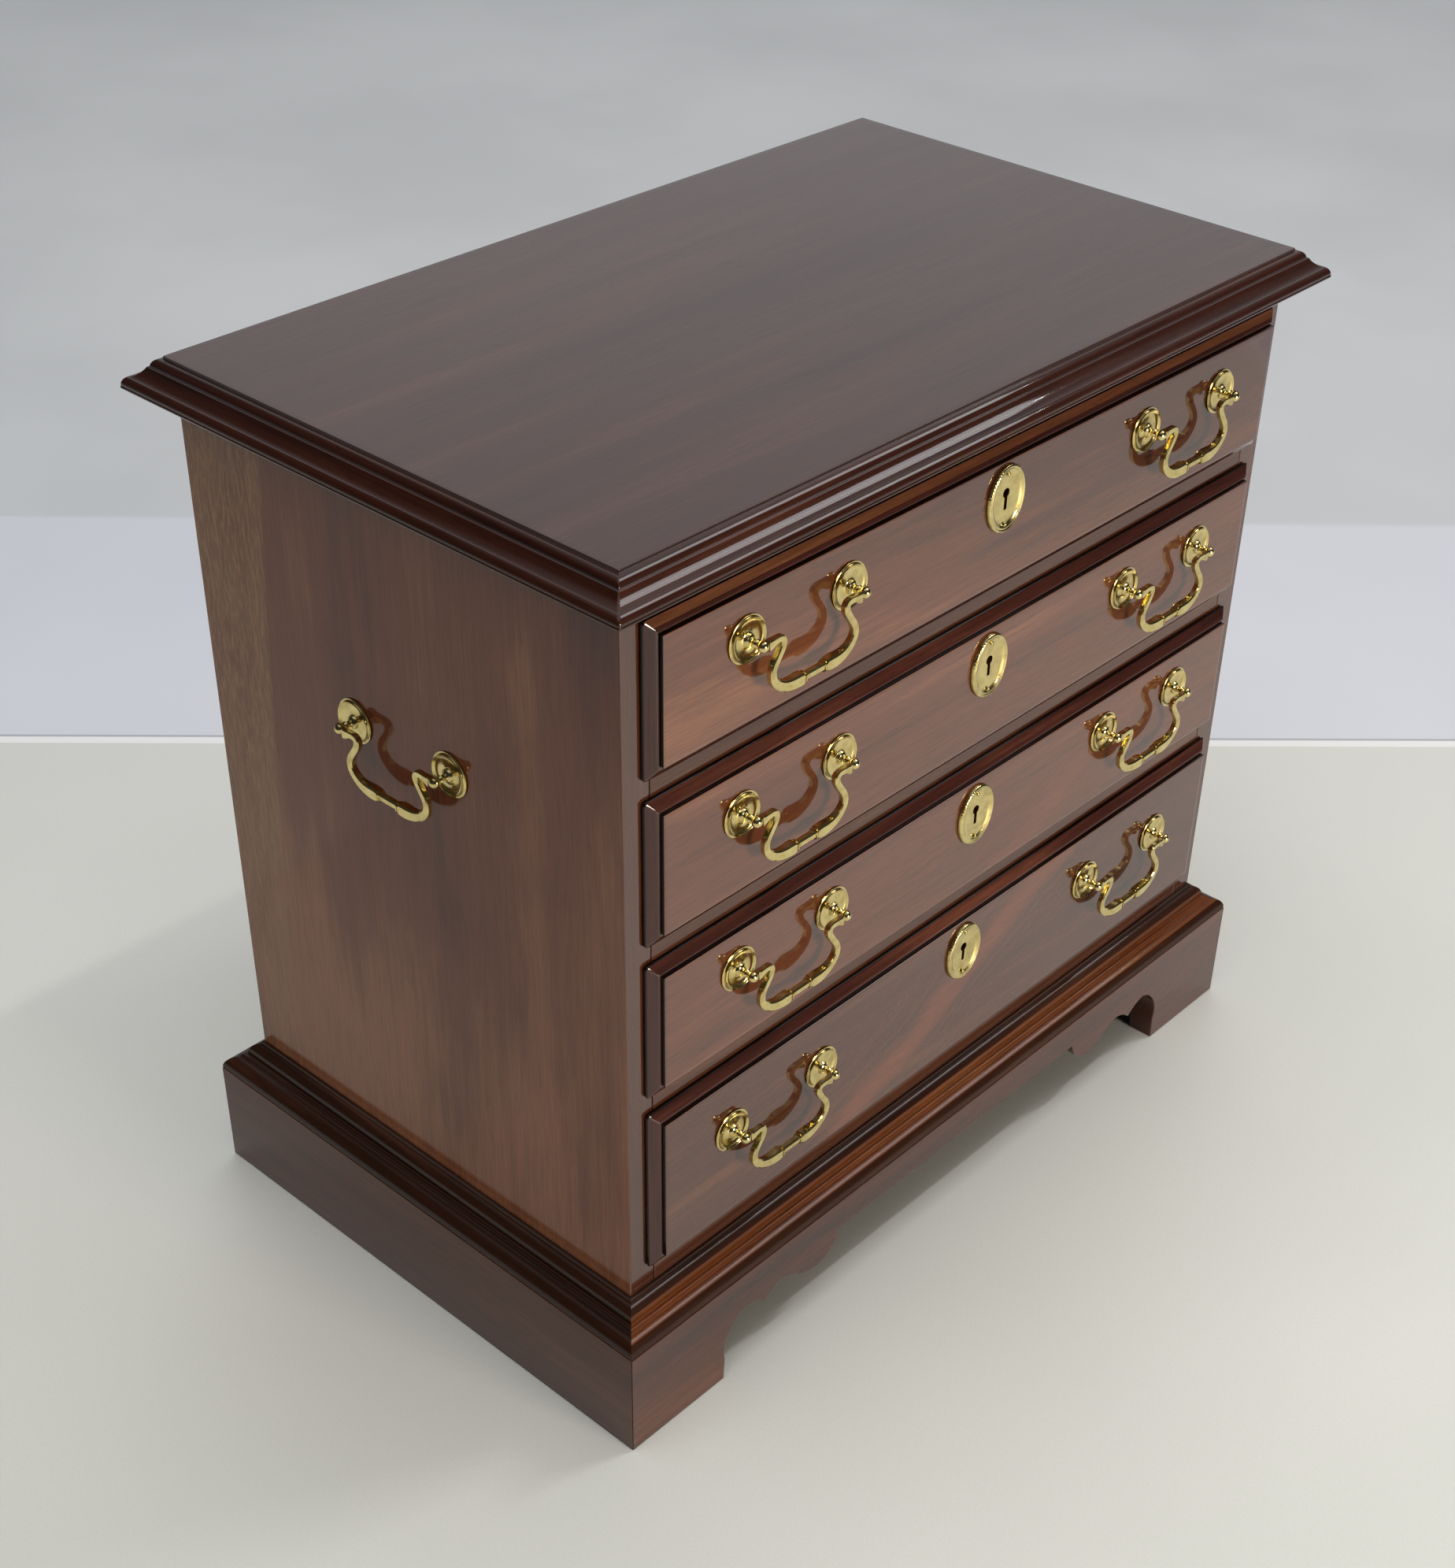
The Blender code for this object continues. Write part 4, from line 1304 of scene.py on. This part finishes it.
# The woods: palette, axis of the grain, offset and finish.
WOODS = {
    "top": ("top", "X", 1.0, {"coat": 0.09}),
    "moulding_x": ("moulding", "X", 2.0, {}),
    "moulding_y": ("moulding", "Y", 3.0, {}),
    "base_x": ("base_dark", "X", 2.5, BASE_FINISH),
    "base_y": ("base_dark", "Y", 3.5, {"coat": 0.07, "shine": 0.6}),
    # Painted light: the lit band on the front base moulding.
    "base_band": ("base", "X", 2.7, BASE_FINISH),
    "lip_1": ("lip_light", "X", 4.0, {}),
    "lip": ("lip", "X", 4.5, {}),
    "lip_z": ("lip", "Z", 4.6, {}),
    # Near-black painted shade on a lip's side and its step.
    "glaze": ("glaze", "X", 4.8, {"coat": 0.12, "shine": 0.6}),
    "stile": ("field_dark", "Z", 5.5, {"coat": 0.06, "contrast": 0.8, "ior": DEEP_POLISH}),
    "side_left": ("side", "Z", 5.0, {"inlay": fleck_strip, **SIDE_FINISH}),
    "side_right": ("side", "Z", 6.0, SIDE_FINISH),
    "back": ("side", "Z", 7.0, {"coat": 0.25}),
    "plinth_x": ("plinth", "X", 8.0, PLINTH_FINISH),
    "plinth_y": ("plinth", "Y", 9.0, PLINTH_FINISH),
    "plinth_front": ("field_dark", "X", 10.0, {"coat": 0.08, "contrast": 0.9}),
    "plain": ("plain", "Y", 11.0, PLAIN),
    "lining_left": ("plain", "Y", 12.0, PLAIN),
    "lining_right": ("plain", "Y", 13.0, PLAIN),
    "lining_back": ("plain", "X", 14.0, PLAIN),
    "lining_bottom": ("plain", "X", 15.0, PLAIN),
    "block": ("block", "Z", 16.0, PLAIN),
    "lining_end": ("plain_end", "Z", 17.0, PLAIN),
    **{f"rail_{index}": ("rail", "X", 20.0 + index, {}) for index in range(len(RAILS) + 1)},
    "field_1": ("field", "X", 31.0, {"figure": pale_end, **FRONT_FINISH}),
    "field_2": ("field", "X", 32.0, FRONT_FINISH),
    "field_3": ("field", "X", 33.0, {"inlay": flame(-0.36, 0.025, 0.35), **FRONT_FINISH}),
    "field_4": ("field_dark", "X", 34.0, {"inlay": flame(-0.270, 0.030, 0.65), **FRONT_FINISH}),
}


def make_woods():
    woods = {}
    for key, (palette, axis, offset, finish) in WOODS.items():
        woods[key] = wood(f"wood_{key}", palette, axis, offset, **finish)
    return woods


def main():
    make_camera()
    woods = make_woods()
    metal = brass("polished_brass")
    make_top(woods)
    make_case(woods)
    make_rails(woods)
    make_base(woods)
    for number in range(1, 5):
        make_front(number, woods)
        make_box(number, woods)
        make_keyhole_plate(number, metal)
    make_pulls(metal)
    make_floor()
    make_world()
    make_lights()
    bpy.context.scene.view_settings.view_transform = "Standard"


main()
